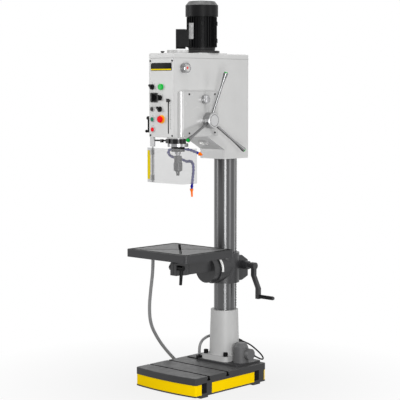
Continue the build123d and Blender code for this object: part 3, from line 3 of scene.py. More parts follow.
import bmesh
import bpy
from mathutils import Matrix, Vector


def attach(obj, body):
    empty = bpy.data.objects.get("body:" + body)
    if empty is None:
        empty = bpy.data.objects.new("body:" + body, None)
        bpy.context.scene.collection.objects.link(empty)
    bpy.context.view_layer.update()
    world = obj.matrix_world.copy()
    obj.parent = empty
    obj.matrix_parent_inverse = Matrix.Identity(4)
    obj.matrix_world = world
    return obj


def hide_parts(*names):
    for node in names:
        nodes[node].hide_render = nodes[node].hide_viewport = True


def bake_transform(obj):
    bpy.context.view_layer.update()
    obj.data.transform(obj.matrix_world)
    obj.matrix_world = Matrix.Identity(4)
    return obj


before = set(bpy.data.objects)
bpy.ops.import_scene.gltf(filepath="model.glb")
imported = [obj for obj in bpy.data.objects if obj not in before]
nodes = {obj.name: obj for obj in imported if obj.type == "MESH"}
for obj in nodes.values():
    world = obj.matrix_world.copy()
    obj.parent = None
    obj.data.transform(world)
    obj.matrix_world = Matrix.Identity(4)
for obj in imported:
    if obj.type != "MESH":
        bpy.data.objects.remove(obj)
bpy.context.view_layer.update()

# Directions, and what stays of a place when it is measured round an axis
to_right = (1, 0, 0)
to_rear = (0, 1, 0)
to_front = (0, -1, 0)
to_top = (0, 0, 1)
round_x = (0, 1, 1)
round_y = (1, 0, 1)
round_z = (1, 1, 0)

# Head and front panel, in metres
head_top = 1.853
head_front = -0.5
head_right = 0.088
head_seam = 1.826
head_seam_half = 0.0016
head_inside_half = 0.0826
head_inside_y = (-0.5036, 0.096)
head_inside_z = (1.4125, 1.842)
panel_face = -0.508
panel_back = -0.5024
panel_skin = 0.0001
depth_x = 0.053
depth_slot_half = 0.0043
depth_slot_z = (1.42, 1.78)
selector_places = ((-0.067, 1.672), (-0.008, 1.614), (-0.009, 1.553))
button_places = ((-0.067, 1.553), (-0.065, 1.498), (-0.063, 1.443))
button_rim_r = 0.0158
pilot_place = (0.0, 0.0, 1.672)
pilot_r = 0.0175
pilot_glow_r = 0.017
stop_place = (0.003, 0.0, 1.499)
stop_collar_r = 0.0245
main_x, main_z = -0.053, 1.615
main_half = 0.0262
sight_place = (0, -0.432, 1.773)
sight_window_r = 0.0181
sight_dot_r = 0.0075
lamp_place = Vector((0, -0.172, 1.36214))
lamp_fall = 77 / 141
lens_half_wide = 0.0302
lens_half_long = 0.0152
hub_place = (0, -0.265, 1.491)
hub_groove_in = 0.0303
hub_groove_out = 0.0328
hub_groove_x = 0.160

# Motor
motor_y = -0.190
motor_fin_r = 0.084
motor_flange_top = 1.885

# Guard
guard_left = -0.107
guard_y = -0.452
guard_half_sheet = 0.0015
guard_wing = 0.078
guard_wing_turn = math.radians(15)
guard_pin = (-0.149, -0.426, 0)
guard_sleeve_r = 0.0095

# Column and table
rack_dark_y = 0.0575
trunnion_z = 0.650
trunnion_r = 0.083
trunnion_front = -0.114
table_y = -0.365
table_top_z = 0.7836
table_face_half_x = 0.2025
table_face_half_y = 0.1655
table_inner_half_x = 0.2204
table_inner_half_y = 0.1834
table_inner_z = (0.7595, 0.7838)

# Base
base_band_z = (0.0165, 0.0745)
base_band_x = 0.2265
base_front_band = -0.467
base_corner_band = -0.434
base_side_band = (-0.355, 0.0)
base_rear_band = 0.080
deck_z = (0.1126, 0.1134)
deck_slot_low = 0.0885
deck_slot_half = 0.2296
deck_slots = ((-0.3925, -0.3675), (-0.2405, -0.2155))

# Hoses and cable
supply_r = 0.008
drain_r = 0.0095
cable_r = 0.0043
supply_line = [
    (-0.118, -0.084, 0.142),
    (-0.118, -0.084, 0.180),
    (-0.117, -0.073, 0.206),
    (-0.114, -0.052, 0.226),
    (-0.105, -0.006, 0.242),
    (-0.074, 0.066, 0.240),
    (-0.008, 0.122, 0.214),
    (0.066, 0.124, 0.178),
    (0.114, 0.074, 0.164),
    (0.120, 0.026, 0.162),
]
drain_line = [
    (-0.211, -0.365, 0.716),
    (-0.211, -0.365, 0.646),
    (-0.234, -0.360, 0.540),
    (-0.246, -0.362, 0.430),
    (-0.252, -0.345, 0.330),
    (-0.256, -0.280, 0.235),
    (-0.258, -0.215, 0.165),
    (-0.257, -0.157, 0.110),
    (-0.256, -0.124, 0.081),
]
cable_line = [
    (0.189, 0.047, 0.153),
    (0.2065, 0.085, 0.128),
    (0.1915, 0.1245, 0.127),
    (0.153, 0.142, 0.147),
    (0.114, 0.127, 0.180),
    (0.090, 0.109, 0.202),
    (0.060, 0.085, 0.217),
]

# Colours, linear
light_grey = (0.535, 0.535, 0.531)
dark_grey = (0.028, 0.028, 0.0296)
black = (0.0045, 0.0045, 0.005)
oxide_black = (0.003, 0.003, 0.0033)
yellow = (0.95, 0.64, 0.0)
green = (0.0, 0.38, 0.045)
deep_green = (0.0, 0.18, 0.095)
red = (0.85, 0.003, 0.012)
amber = (0.98, 0.47, 0.018)
blue = (0.006, 0.002, 0.26)
orange = (1.0, 0.18, 0.003)


class Surface:
    """A material of shader nodes, laid out in the coordinates of its object."""

    def __init__(self, name, **values):
        self.material = bpy.data.materials.new(name)
        self.material.use_nodes = True
        self.tree = self.material.node_tree
        self.shader = self.tree.nodes["Principled BSDF"]
        self.place = self.tree.nodes.new("ShaderNodeTexCoord").outputs["Object"]
        for key, value in values.items():
            self.shader.inputs[key.replace("_", " ")].default_value = value

    def add(self, kind, inputs=(), **settings):
        node = self.tree.nodes.new(kind)
        for key, value in settings.items():
            setattr(node, key, value)
        for key, value in dict(inputs).items():
            if isinstance(value, bpy.types.NodeSocket):
                self.tree.links.new(value, node.inputs[key])
            else:
                node.inputs[key].default_value = value
        return node

    def math(self, operation, a, b=0.0):
        return self.add("ShaderNodeMath", {0: a, 1: b}, operation=operation).outputs[0]

    def vector(self, operation, a, b=(0, 0, 0), output=0):
        return self.add("ShaderNodeVectorMath", {0: a, 1: b}, operation=operation).outputs[output]

    def less(self, a, b):
        return self.math("LESS_THAN", a, b)

    def more(self, a, b):
        return self.math("GREATER_THAN", a, b)

    def times(self, a, b):
        return self.math("MULTIPLY", a, b)

    def rest(self, mask):
        return self.math("SUBTRACT", 1.0, mask)

    def axis(self, name):
        return self.add("ShaderNodeSeparateXYZ", {0: self.place}).outputs[name]

    def off_middle(self, name, middle=0.0):
        return self.math("ABSOLUTE", self.math("SUBTRACT", self.axis(name), middle))

    def above(self, name, value):
        return self.more(self.axis(name), value)

    def below(self, name, value):
        return self.less(self.axis(name), value)

    def both(self, *masks):
        made = masks[0]
        for mask in masks[1:]:
            made = self.times(made, mask)
        return made

    def either(self, *masks):
        made = masks[0]
        for mask in masks[1:]:
            made = self.math("MAXIMUM", made, mask)
        return made

    def range(self, name, low, high):
        return self.both(self.above(name, low), self.below(name, high))

    def reach(self, centre, keep):
        """Distance from a line through centre, along the axis where keep is 0."""
        flat = self.vector("MULTIPLY", self.vector("SUBTRACT", self.place, centre), keep)
        return self.vector("LENGTH", flat, output="Value")

    def near(self, centre, keep, radius):
        return self.less(self.reach(centre, keep), radius)

    def facing(self, direction):
        normal = self.add("ShaderNodeNewGeometry").outputs["Normal"]
        turned = self.add("ShaderNodeVectorTransform", {0: normal}, vector_type="NORMAL",
                          convert_from="WORLD", convert_to="OBJECT").outputs[0]
        return self.vector("DOT_PRODUCT", turned, direction, "Value")

    def faces(self, direction, least=0.9):
        return self.more(self.facing(direction), least)

    def noise(self, scale, detail=3.0, stretch=(1, 1, 1), rough=0.5):
        at = self.vector("MULTIPLY", self.place, stretch)
        return self.add("ShaderNodeTexNoise", {"Vector": at, "Scale": scale, "Detail": detail,
                                               "Roughness": rough}).outputs[0]

    def span(self, value, low, high, from_low=0.25, from_high=0.75):
        return self.add("ShaderNodeMapRange", {"Value": value, "From Min": from_low, "From Max": from_high,
                                               "To Min": low, "To Max": high}).outputs[0]

    def mix(self, share, a, b):
        node = self.tree.nodes.new("ShaderNodeMix")
        node.data_type = "RGBA"
        for socket, value in zip((node.inputs[0], node.inputs[6], node.inputs[7]), (share, a, b)):
            if isinstance(value, bpy.types.NodeSocket):
                self.tree.links.new(value, socket)
            elif isinstance(value, (int, float)):
                socket.default_value = value
            else:
                socket.default_value = (*value, 1)
        return node.outputs[2]

    def feed(self, name, value):
        self.tree.links.new(value, self.shader.inputs[name])

    def colour(self, value):
        self.feed("Base Color", value)

    def rough(self, value):
        self.feed("Roughness", value)

    def metal(self, value):
        self.feed("Metallic", value)

    def bump(self, height, strength, distance=0.001):
        node = self.add("ShaderNodeBump", {"Height": height, "Strength": strength, "Distance": distance})
        self.feed("Normal", node.outputs[0])


def tint(colour, share):
    return tuple(min(1.0, c * share) for c in colour)


def worn(surface, colour, spread=0.06, scale=9.0):
    """The colour with broad uneven patches and fine specks."""
    patches = surface.span(surface.noise(scale), 0, 1)
    broad = surface.mix(patches, tint(colour, 1 - spread), tint(colour, 1 + spread))
    specks = surface.span(surface.noise(420.0, 2.0), 0, 0.35, 0.62, 0.75)
    return surface.mix(specks, broad, tint(colour, 1 - 3 * spread))


def paint(name, colour, rough=0.4, peel=0.05, peel_scale=700.0, spread=0.04, coat=0.0, gloss=0.5):
    s = Surface(name, Coat_Weight=coat, Coat_Roughness=0.08, Specular_IOR_Level=gloss)
    s.colour(worn(s, colour, spread))
    s.rough(s.span(s.noise(35.0), rough - 0.05, rough + 0.06))
    s.bump(s.noise(peel_scale, 2.0), peel)
    return s


def plastic(name, colour, rough=0.32, grain=0.04, gloss=0.5):
    s = Surface(name, Specular_IOR_Level=gloss)
    s.colour(worn(s, colour, 0.05, 60.0))
    s.rough(s.span(s.noise(160.0), rough - 0.06, rough + 0.08))
    s.bump(s.noise(1500.0, 2.0), grain)
    return s


def steel(name, colour, rough=0.22, stretch=(1, 1, 1), scale=500.0, mark=0.05, spread=0.08, uneven=0.08):
    """Cut or ground metal. Its marks run across the stretched axis."""
    s = Surface(name, Metallic=1.0)
    lines = s.noise(scale, 4.0, stretch, 0.65)
    s.colour(s.mix(s.span(lines, 0, 1), tint(colour, 1 - spread), tint(colour, 1 + spread)))
    s.rough(s.span(s.noise(scale * 0.7, 3.0, stretch), rough - uneven, rough + uneven))
    s.bump(lines, mark, 0.0005)
    return s


def dress(surface, *names):
    for name in names:
        nodes[name].data.materials.clear()
        nodes[name].data.materials.append(surface.material)


# Painted castings and sheet
cover_paint = paint("light_paint", tint(light_grey, 0.82), 0.24, 0.015, spread=0.02, coat=0.9)
cover_paint.shader.inputs["Coat IOR"].default_value = 1.8
dress(cover_paint, "feed_cover")
dress(paint("foot_paint", tint(light_grey, 0.86), 0.4, 0.1, 300.0), "column_foot")
dress(paint("dark_paint", dark_grey, 0.34, 0.12, 260.0, 0.08, gloss=0.4),
      "table_bracket", "table_arm", "lift_crank", "clamp_nut")
dress(paint("pump_paint", (0.1, 0.1, 0.102), 0.42, 0.12, 350.0, 0.06, gloss=0.35), "coolant_pump")

# Motor: black, with dust and painted light from above on what faces up, and a lighter flange
flange_lighter_share = 0.35
for name, colour, gloss, top_and_flange_grey, node_names in (
    ("motor_paint", (0.0036, 0.0036, 0.004), 0.09, 0.07, ("motor_body", "terminal_box")),
    ("cowl_paint", (0.004, 0.004, 0.0044), 0.13, 0.22, ("fan_cowl",)),
):
    s = Surface(name, Specular_IOR_Level=gloss)
    patches = s.span(s.noise(40.0), 0.8, 1.2)
    # Up-facing surfaces painted lighter, as dust and as painted light from above
    dust_and_top_light = s.span(s.times(s.facing(to_top), patches), 0.0, 1.0, 0.3, 0.9)
    flange = s.times(s.below("Z", motor_flange_top), flange_lighter_share)
    s.colour(s.mix(s.either(dust_and_top_light, flange), worn(s, colour, 0.15), (top_and_flange_grey, top_and_flange_grey, top_and_flange_grey)))
    s.rough(s.span(s.noise(35.0), 0.34, 0.46))
    s.bump(s.noise(500.0, 2.0), 0.06)
    dress(s, *node_names)

# Head: light paint, dirt in the seams, the inside painted dark as painted shade
top_seam_dirt = 0.25
panel_seam_dirt = 0.3
s = Surface("head_paint", Coat_Weight=0.12, Coat_Roughness=0.12)
# The inside of the casting painted near black, as painted shade
shaded_inside = s.both(
    s.less(s.off_middle("X"), head_inside_half),
    s.range("Y", *head_inside_y),
    s.range("Z", *head_inside_z),
)
top_seam = s.both(s.less(s.off_middle("Z", head_seam), head_seam_half), s.above("Y", head_front))
panel_seam = s.both(s.below("Y", panel_back), s.above("X", head_right), s.below("Z", head_seam))
seam = s.either(s.times(top_seam, top_seam_dirt), s.times(panel_seam, panel_seam_dirt))
skin = s.mix(seam, worn(s, light_grey, 0.03), (0.1, 0.1, 0.1))
s.colour(s.mix(shaded_inside, skin, (0.02, 0.02, 0.02)))
s.rough(s.span(s.noise(35.0), 0.28, 0.4))
s.bump(s.noise(700.0, 2.0), 0.04)
dress(s, "head_casting", "head_top_cover")

# Panel: light enamel, the slot of the depth pointer painted black as painted shade
s = Surface("panel_enamel", Coat_Weight=0.1, Coat_Roughness=0.15)
# Slot walls painted black, as painted shade
shaded_slot = s.both(
    s.less(s.off_middle("X", depth_x), depth_slot_half),
    s.above("Y", panel_face + panel_skin),
    s.range("Z", *depth_slot_z),
)
s.colour(s.mix(shaded_slot, worn(s, tint(light_grey, 1.04), 0.025), black))
s.rough(s.span(s.noise(35.0), 0.33, 0.43))
s.bump(s.noise(900.0, 2.0), 0.03)
dress(s, "control_panel")

# Base: dark paint, yellow bands in the recesses, a machined deck, its slots painted black as painted shade
dark_gloss = 0.3
yellow_gloss = 0.03
s = Surface("base_paint")
out_side = s.more(s.off_middle("X"), base_band_x)
front_part = s.either(s.below("Y", base_front_band), s.both(out_side, s.below("Y", base_corner_band)))
side_part = s.both(out_side, s.range("Y", *base_side_band))
in_recess = s.either(front_part, side_part, s.above("Y", base_rear_band))
yellow_mask = s.both(s.range("Z", *base_band_z), in_recess)
deck_mask = s.both(s.range("Z", *deck_z), s.faces(to_top))
# Inside of the T-slots painted black, as painted shade
shaded_slot = s.both(
    s.less(s.off_middle("X"), deck_slot_half),
    s.either(*[s.range("Y", *sides) for sides in deck_slots]),
    s.range("Z", deck_slot_low, deck_z[0]),
)
cuts = s.span(s.noise(90.0, 4.0, (0.25, 9, 1), 0.7), 0, 1)
stains = s.span(s.noise(9.0, 4.0), 0, 0.45)
machined = s.mix(cuts, (0.05, 0.05, 0.051), (0.105, 0.105, 0.107))
deck = s.mix(stains, machined, (0.05, 0.05, 0.05))
painted = s.mix(yellow_mask, worn(s, dark_grey, 0.09), worn(s, yellow, 0.03))
s.colour(s.mix(shaded_slot, s.mix(deck_mask, painted, deck), (0.003, 0.003, 0.003)))
s.rough(s.span(s.noise(30.0), 0.36, 0.5))
s.metal(s.times(deck_mask, 0.3))
s.feed("Specular IOR Level", s.span(yellow_mask, dark_gloss, yellow_gloss, 0.0, 1.0))
s.bump(s.noise(260.0, 2.0), 0.14)
dress(s, "base_casting")

# Table: painted sides, a darker rim, gutter and slots painted black as painted shade, a ground face
s = Surface("table_iron", Specular_IOR_Level=0.3)
across = s.off_middle("X")
along = s.off_middle("Y", table_y)
top = s.both(s.above("Z", table_top_z), s.faces(to_top))
within = s.both(s.less(across, table_face_half_x), s.less(along, table_face_half_y))
face = s.both(top, within)
rim = s.both(top, s.rest(within))
# Gutter and slots painted black, as painted shade
shaded_gutter_and_slots = s.both(
    s.less(across, table_inner_half_x),
    s.less(along, table_inner_half_y),
    s.range("Z", *table_inner_z),
)
cuts = s.span(s.noise(70.0, 4.0, (1, 6, 1), 0.7), 0, 1)
stains = s.span(s.noise(7.0, 4.0), 0, 0.5)
machined = s.mix(cuts, (0.095, 0.095, 0.0965), (0.155, 0.155, 0.157))
ground = s.mix(stains, machined, (0.08, 0.08, 0.08))
skin = s.mix(rim, worn(s, dark_grey, 0.08), worn(s, (0.006, 0.006, 0.0064), 0.1))
sides = s.mix(shaded_gutter_and_slots, skin, (0.004, 0.004, 0.004))
s.colour(s.mix(face, sides, ground))
s.metal(s.times(face, 0.5))
s.rough(s.span(s.noise(45.0), 0.36, 0.5))
s.bump(s.noise(260.0, 2.0), 0.12)
dress(s, "table_top")

# Column: ground steel whose highlight runs along it
s = steel("column_steel", (0.115, 0.115, 0.117), 0.29, (1, 1, 14), 60.0, 0.004, 0.03, 0.02)
s.shader.inputs["Anisotropic"].default_value = 0.9
s.shader.inputs["Anisotropic Rotation"].default_value = 0.25
s.feed("Tangent", s.add("ShaderNodeTangent", direction_type="RADIAL", axis="Z").outputs[0])
dress(s, "column_tube")

# Rack: sides painted light as a painted reflection of bare steel, teeth and rear faces painted dark as
# painted shade
s = Surface("rack_steel", Specular_IOR_Level=0.12)
# Teeth and rear faces painted near black as painted shade; the sides painted light as a painted reflection
teeth_shade = s.either(s.above("Y", rack_dark_y), s.faces(to_rear, 0.2))
bare_sheen = s.mix(s.span(s.noise(120.0, 4.0, (1, 1, 6)), 0, 1), (0.7, 0.7, 0.705), (0.84, 0.84, 0.845))
s.colour(s.mix(teeth_shade, bare_sheen, worn(s, (0.004, 0.004, 0.0044), 0.2)))
s.rough(s.span(s.noise(80.0), 0.3, 0.44))
s.bump(s.noise(300.0, 2.0), 0.06)
dress(s, "column_rack")

# Other metal
dress(steel("quill_steel", (0.28, 0.28, 0.285), 0.24, (1, 1, 12), 90.0, 0.03),
      "quill", "quill_ring", "spindle")
dress(steel("gear_steel", (0.36, 0.36, 0.365), 0.3, (1, 1, 6), 120.0, 0.08),
      "motor_rotor", "intermediate_gears", "spindle_gear", "shaft_bearings")
dress(steel("chuck_steel", (0.06, 0.06, 0.062), 0.2, (1, 1, 10), 120.0, 0.06),
      "chuck_body", "chuck_sleeve", "chuck_jaw_1", "chuck_jaw_2", "chuck_jaw_3")
dress(steel("knob_steel", (0.38, 0.38, 0.385), 0.28, (10, 1, 1), 90.0, 0.06), "feed_knob")
dress(steel("handle_chrome", (0.19, 0.19, 0.193), 0.2, (1, 1, 1), 900.0, 0.0, 0.04, 0.04), "feed_handles")
dress(paint("post_anodised", (0.55, 0.55, 0.555), 0.42, 0.05, 900.0), "guard_post")
dress(paint("black_oxide", oxide_black, 0.38, 0.08, 600.0, 0.2, gloss=0.12),
      "foot_bolts", "coolant_ring", "cover_screws", "gear_lever", "table_clamp_lever")
dress(paint("rod_black", oxide_black, 0.22, 0.02, 600.0, 0.2, gloss=0.25), "guard_rod")

# Feed hub: turned metal, its right face painted lighter as painted light, with a dark ring painted round
# its face as the shade of a groove
s = Surface("hub_steel", Metallic=1.0)
out = s.reach(hub_place, round_x)
# A thin ring painted dark, as the painted shade of a groove
groove_shade = s.both(s.more(out, hub_groove_in), s.less(out, hub_groove_out), s.above("X", hub_groove_x))
turned = s.noise(140.0, 3.0, (9, 1, 1), 0.6)
shine = s.mix(s.span(turned, 0, 1), (0.34, 0.34, 0.344), (0.4, 0.4, 0.404))
# The face towards the right painted lighter, as painted light
shine = s.mix(s.faces(to_right), shine, (0.5, 0.5, 0.505))
s.colour(s.mix(groove_shade, shine, (0.035, 0.035, 0.035)))
s.rough(s.span(turned, 0.3, 0.4))
s.bump(turned, 0.03, 0.0005)
dress(s, "feed_hub")

# Plastic
dress(plastic("black_plastic", black, 0.38, gloss=0.2), "selector_1", "selector_2", "selector_3",
      "button_black", "main_switch", "crank_grip", "hose_fittings", "depth_pointer")
dress(plastic("green_plastic", green, 0.38, 0.02, gloss=0.1), "handle_caps")
dress(plastic("deep_green_plastic", deep_green, 0.38, 0.02, gloss=0.1), "button_green")
dress(plastic("red_plastic", red, 0.38, 0.02, gloss=0.06), "button_red", "estop_button")
dress(plastic("blue_plastic", blue, 0.36, 0.03, gloss=0.1), "coolant_arms")
dress(plastic("orange_plastic", orange, 0.4, 0.03, gloss=0.04), "coolant_nozzles")

# Switch bezels: black, light round the push buttons, with the pilot lamp and the emergency stop's collar
s = Surface("bezel_plastic", Specular_IOR_Level=0.16)
pilot = s.near(pilot_place, round_y, pilot_r)
collar = s.near(stop_place, round_y, stop_collar_r)
rims = s.either(*[s.near((x, 0, z), round_y, button_rim_r) for x, z in button_places])
plate = s.both(s.less(s.off_middle("X", main_x), main_half), s.less(s.off_middle("Z", main_z), main_half))
plate_side = s.both(plate, s.less(s.facing(to_front), 0.75))
from_middle = s.span(s.reach(pilot_place, round_y), 0, 1, 0.0, pilot_glow_r)
lit = s.mix(from_middle, (0.01, 0.58, 0.075), (0.0, 0.42, 0.04))
dark = s.mix(plate, worn(s, black, 0.2, 60.0), worn(s, (0.03, 0.03, 0.031), 0.1, 60.0))
dark = s.mix(plate_side, dark, (0.16, 0.16, 0.16))
light = s.mix(rims, dark, worn(s, (0.44, 0.44, 0.44), 0.04, 60.0))
s.colour(s.mix(pilot, s.mix(collar, light, amber), lit))
s.rough(s.span(s.noise(160.0), 0.24, 0.38))
s.bump(s.noise(1500.0, 2.0), 0.03)
dress(s, "switch_bezels")

# Oil sight glass: turned ring, milky window, red middle
s = Surface("sight_glass", Coat_Weight=0.4, Coat_Roughness=0.05)
window = s.near(sight_place, round_x, sight_window_r)
dot = s.near(sight_place, round_x, sight_dot_r)
ring_metal = s.mix(s.span(s.noise(160.0), 0, 1), (0.22, 0.22, 0.225), (0.42, 0.42, 0.425))
glass = s.mix(s.span(s.noise(55.0), 0, 1), (0.42, 0.42, 0.41), (0.56, 0.56, 0.55))
s.colour(s.mix(dot, s.mix(window, ring_metal, glass), (0.62, 0.03, 0.02)))
s.metal(s.rest(window))
s.rough(s.span(s.noise(80.0), 0.16, 0.34))
dress(s, "sight_glass")

# Work lamp: satin rim, and a lens painted bright with white glints as painted highlights and given a faint
# glow
lens_glow = 0.1
s = Surface("work_lamp", Coat_Weight=0.3, Coat_Roughness=0.08, Emission_Color=(1, 1, 0.98, 1))
lamp_side = Vector(to_right)
lamp_along = Vector((0, -lamp_fall, -1)).normalized().cross(lamp_side)
apart = s.vector("SUBTRACT", s.place, lamp_place)
across = s.vector("DOT_PRODUCT", apart, lamp_side / lens_half_wide, "Value")
along = s.vector("DOT_PRODUCT", apart, lamp_along / lens_half_long, "Value")
lens = s.less(s.math("ADD", s.times(across, across), s.times(along, along)), 1.0)
# White patches on the lens, as painted highlights
ripple_glints = s.mix(s.span(s.noise(110.0), 0, 1, 0.4, 0.62), (0.3, 0.3, 0.3), (1.0, 1.0, 0.98))
s.colour(s.mix(lens, worn(s, (0.42, 0.42, 0.42), 0.05), ripple_glints))
s.feed("Emission Strength", s.times(lens, lens_glow))
s.rough(s.span(s.noise(90.0), 0.2, 0.35))
s.bump(s.noise(300.0), 0.08)
dress(s, "work_lamp")

# Guard: smoked clear sheet, a little frosted by use, deeper on its sleeve, its wing made more opaque as
# painted shade
wing_shade = 0.12
sleeve_deeper = 0.4
s = Surface("guard_sheet", IOR=1.49)
haze = s.noise(14.0, 5.0, (1, 1, 2.5), 0.6)
scratches = s.noise(240.0, 2.0, (1, 1, 0.06))
sleeve = s.near(guard_pin, round_z, guard_sleeve_r)
smoke = s.mix(s.span(haze, 0, 1), (0.28, 0.28, 0.283), (0.33, 0.33, 0.334))
s.colour(s.mix(sleeve, smoke, (0.16, 0.16, 0.163)))
# The wing made more opaque, as painted shade; the sleeve deeper in its smoke
deeper = s.either(s.times(s.below("X", guard_left), wing_shade), s.times(sleeve, sleeve_deeper))
s.feed("Alpha", s.math("ADD", s.span(haze, 0.25, 0.29), deeper))
s.rough(s.span(scratches, 0.14, 0.3))
dress(s, "guard_shield")


smooth_angle = math.radians(35)
bevel_angle = 0.6


def finish_mesh(name, mesh, surface, body, bevel=0.0, smooth=True):
    data = bpy.data.meshes.new(name)
    bmesh.ops.recalc_face_normals(mesh, faces=mesh.faces)
    if bevel:
        sharp = [e for e in mesh.edges if e.is_manifold and e.calc_face_angle(0.0) > bevel_angle]
        bmesh.ops.bevel(mesh, geom=sharp, offset=bevel, segments=2, affect="EDGES", profile=0.5)
    mesh.to_mesh(data)
    mesh.free()
    for polygon in data.polygons:
        polygon.use_smooth = smooth
    piece = bpy.data.objects.new(name, data)
    bpy.context.scene.collection.objects.link(piece)
    data.materials.append(surface.material)
    if smooth:
        data.set_sharp_from_angle(angle=smooth_angle)
    if body:
        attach(piece, body)
    return piece


def slab(mesh, centre, right, up, width, height, thick, corner=0.0, steps=5):
    """A plate with round corners, its back at centre and its front thick out of it."""
    right, up = Vector(right).normalized(), Vector(up).normalized()
    out = right.cross(up)
    outline = []
    for turn, (sx, sy) in enumerate(((1, 1), (-1, 1), (-1, -1), (1, -1))):
        middle = (sx * (width / 2 - corner), sy * (height / 2 - corner))
        for n in range(steps if corner else 1):
            angle = math.radians(90 * turn + 90 * n / max(steps - 1, 1))
            outline.append((middle[0] + corner * math.cos(angle), middle[1] + corner * math.sin(angle)))
    low = [mesh.verts.new(Vector(centre) + right * a + up * b) for a, b in outline]
    high = [mesh.verts.new(Vector(centre) + right * a + up * b + out * thick) for a, b in outline]
    mesh.faces.new(low[::-1])
    mesh.faces.new(high)
    skin_rows(mesh, [low, high])


def ring(mesh, centre, right, up, radius, sides):
    """Points round a centre, in the plane of right and up."""
    turns = [2 * math.pi * k / sides for k in range(sides)]
    return [mesh.verts.new(centre + (right * math.cos(a) + up * math.sin(a)) * radius) for a in turns]


def skin_rows(mesh, rows):
    """Faces from each closed row of points to the next."""
    for a, b in zip(rows, rows[1:]):
        for k in range(len(a)):
            m = (k + 1) % len(a)
            mesh.faces.new((a[k], a[m], b[m], b[k]))


def tube(mesh, rows):
    """Skinned rows, closed at both ends."""
    skin_rows(mesh, rows)
    mesh.faces.new(rows[0][::-1])
    mesh.faces.new(rows[-1])


def dome(mesh, centre, out, radius, high, rings=4, sides=16):
    """A low rounded head, its back at centre."""
    out = Vector(out).normalized()
    turn = out.to_track_quat("Z", "Y").to_matrix()
    rows = []
    for n in range(rings):
        angle = math.pi / 2 * n / rings
        middle = Vector(centre) + out * high * math.sin(angle)
        rows.append(ring(mesh, middle, turn.col[0], turn.col[1], radius * math.cos(angle), sides))
    top = mesh.verts.new(Vector(centre) + out * high)
    mesh.faces.new(rows[0][::-1])
    skin_rows(mesh, rows)
    for k in range(sides):
        mesh.faces.new((rows[-1][k], rows[-1][(k + 1) % sides], top))


# Depth scale beside the pointer slot
ink = plastic("ink", (0.03, 0.03, 0.03), 0.5, 0.02)
ink_thick = 0.0002
mark_wide = 0.0016
depth_marks = 31
tenth_mark, fifth_mark, short_mark = 0.010, 0.007, 0.005
depth_scale_x = 0.064
depth_low = 1.450
depth_step = 0.005
mesh = bmesh.new()
for n in range(depth_marks):
    long = tenth_mark if n % 10 == 0 else fifth_mark if n % 5 == 0 else short_mark
    spot = (depth_scale_x + long / 2, panel_face, depth_low + n * depth_step)
    slab(mesh, spot, to_right, to_top, long, mark_wide, ink_thick)
finish_mesh("depth_scale", mesh, ink, "frame", smooth=False)

# Short marks round the switches
mark_reach = 0.0215
turn_mark_wide = 0.0014
turn_mark_long = 0.005
button_mark_long = 0.008
mesh = bmesh.new()
for x, z in selector_places:
    for degrees in (45, 90, 135):
        angle = math.radians(degrees)
        outward = Vector((math.cos(angle), 0, math.sin(angle)))
        sideways = (math.sin(angle), 0, -math.cos(angle))
        spot = Vector((x, panel_face, z)) + outward * mark_reach
        slab(mesh, spot, sideways, outward, turn_mark_wide, turn_mark_long, ink_thick)
for x, z in button_places:
    slab(mesh, (x, panel_face, z + mark_reach), to_right, to_top, button_mark_long, mark_wide, ink_thick)
finish_mesh("switch_marks", mesh, ink, "frame", smooth=False)

# Plain plate on the panel, with a coloured edge and four rivets
plate_skin = paint("plate_enamel", (0.005, 0.005, 0.0054), 0.4, 0.03, 900.0, 0.15, gloss=0.08)
band_skin = paint("plate_band", (0.84, 0.64, 0.0), 0.4, 0.03, 900.0, 0.03, gloss=0.04)
rivet_metal = steel("rivet_metal", (0.6, 0.6, 0.6), 0.26)
plate_z = 1.7795
plate_wide, plate_high, plate_thick = 0.158, 0.042, 0.0008
plate_corner, plate_bevel = 0.002, 0.0002
band_wide, band_high, band_drop = 0.152, 0.007, 0.0145
band_corner = 0.001
rivet_r, rivet_high = 0.0017, 0.0009
rivet_x, rivet_z = 0.0755, 0.0170
mesh = bmesh.new()
slab(mesh, (0, panel_face, plate_z), to_right, to_top, plate_wide, plate_high, plate_thick, plate_corner)
finish_mesh("panel_plate", mesh, plate_skin, "frame", plate_bevel)
mesh = bmesh.new()
band_middle = (0, panel_face - plate_thick, plate_z - band_drop)
slab(mesh, band_middle, to_right, to_top, band_wide, band_high, ink_thick, band_corner)
finish_mesh("panel_plate_band", mesh, band_skin, "frame")
mesh = bmesh.new()
for x in (-rivet_x, rivet_x):
    for z in (-rivet_z, rivet_z):
        dome(mesh, (x, panel_face - plate_thick, plate_z + z), to_front, rivet_r, rivet_high)
finish_mesh("panel_rivets", mesh, rivet_metal, "frame")

# Bare plate on the motor, over the fins
s = Surface("motor_plate", Specular_IOR_Level=0.35)
spots = s.noise(75.0, 4.0, (1, 1, 0.7), 0.65)
s.colour(s.mix(s.span(spots, 0, 1), (0.2, 0.2, 0.2), (0.42, 0.42, 0.42)))
s.rough(s.span(s.noise(60.0), 0.42, 0.58))
s.metal(s.span(spots, 0.0, 0.3))
s.bump(s.noise(300.0, 2.0), 0.05)
motor_plate_z = 1.977
motor_plate_wide, motor_plate_high, motor_plate_thick = 0.034, 0.087, 0.0009
motor_plate_corner = 0.0012
screw_r, screw_high = 0.0016, 0.0009
screw_x, screw_z = 0.0135, 0.040
plate_back = motor_y - motor_fin_r
mesh = bmesh.new()
slab(mesh, (0, plate_back, motor_plate_z), to_right, to_top,
     motor_plate_wide, motor_plate_high, motor_plate_thick, motor_plate_corner)
for x in (-screw_x, screw_x):
    for z in (-screw_z, screw_z):
        dome(mesh, (x, plate_back - motor_plate_thick, motor_plate_z + z), to_front, screw_r, screw_high)
finish_mesh("motor_plate", mesh, s, "frame")

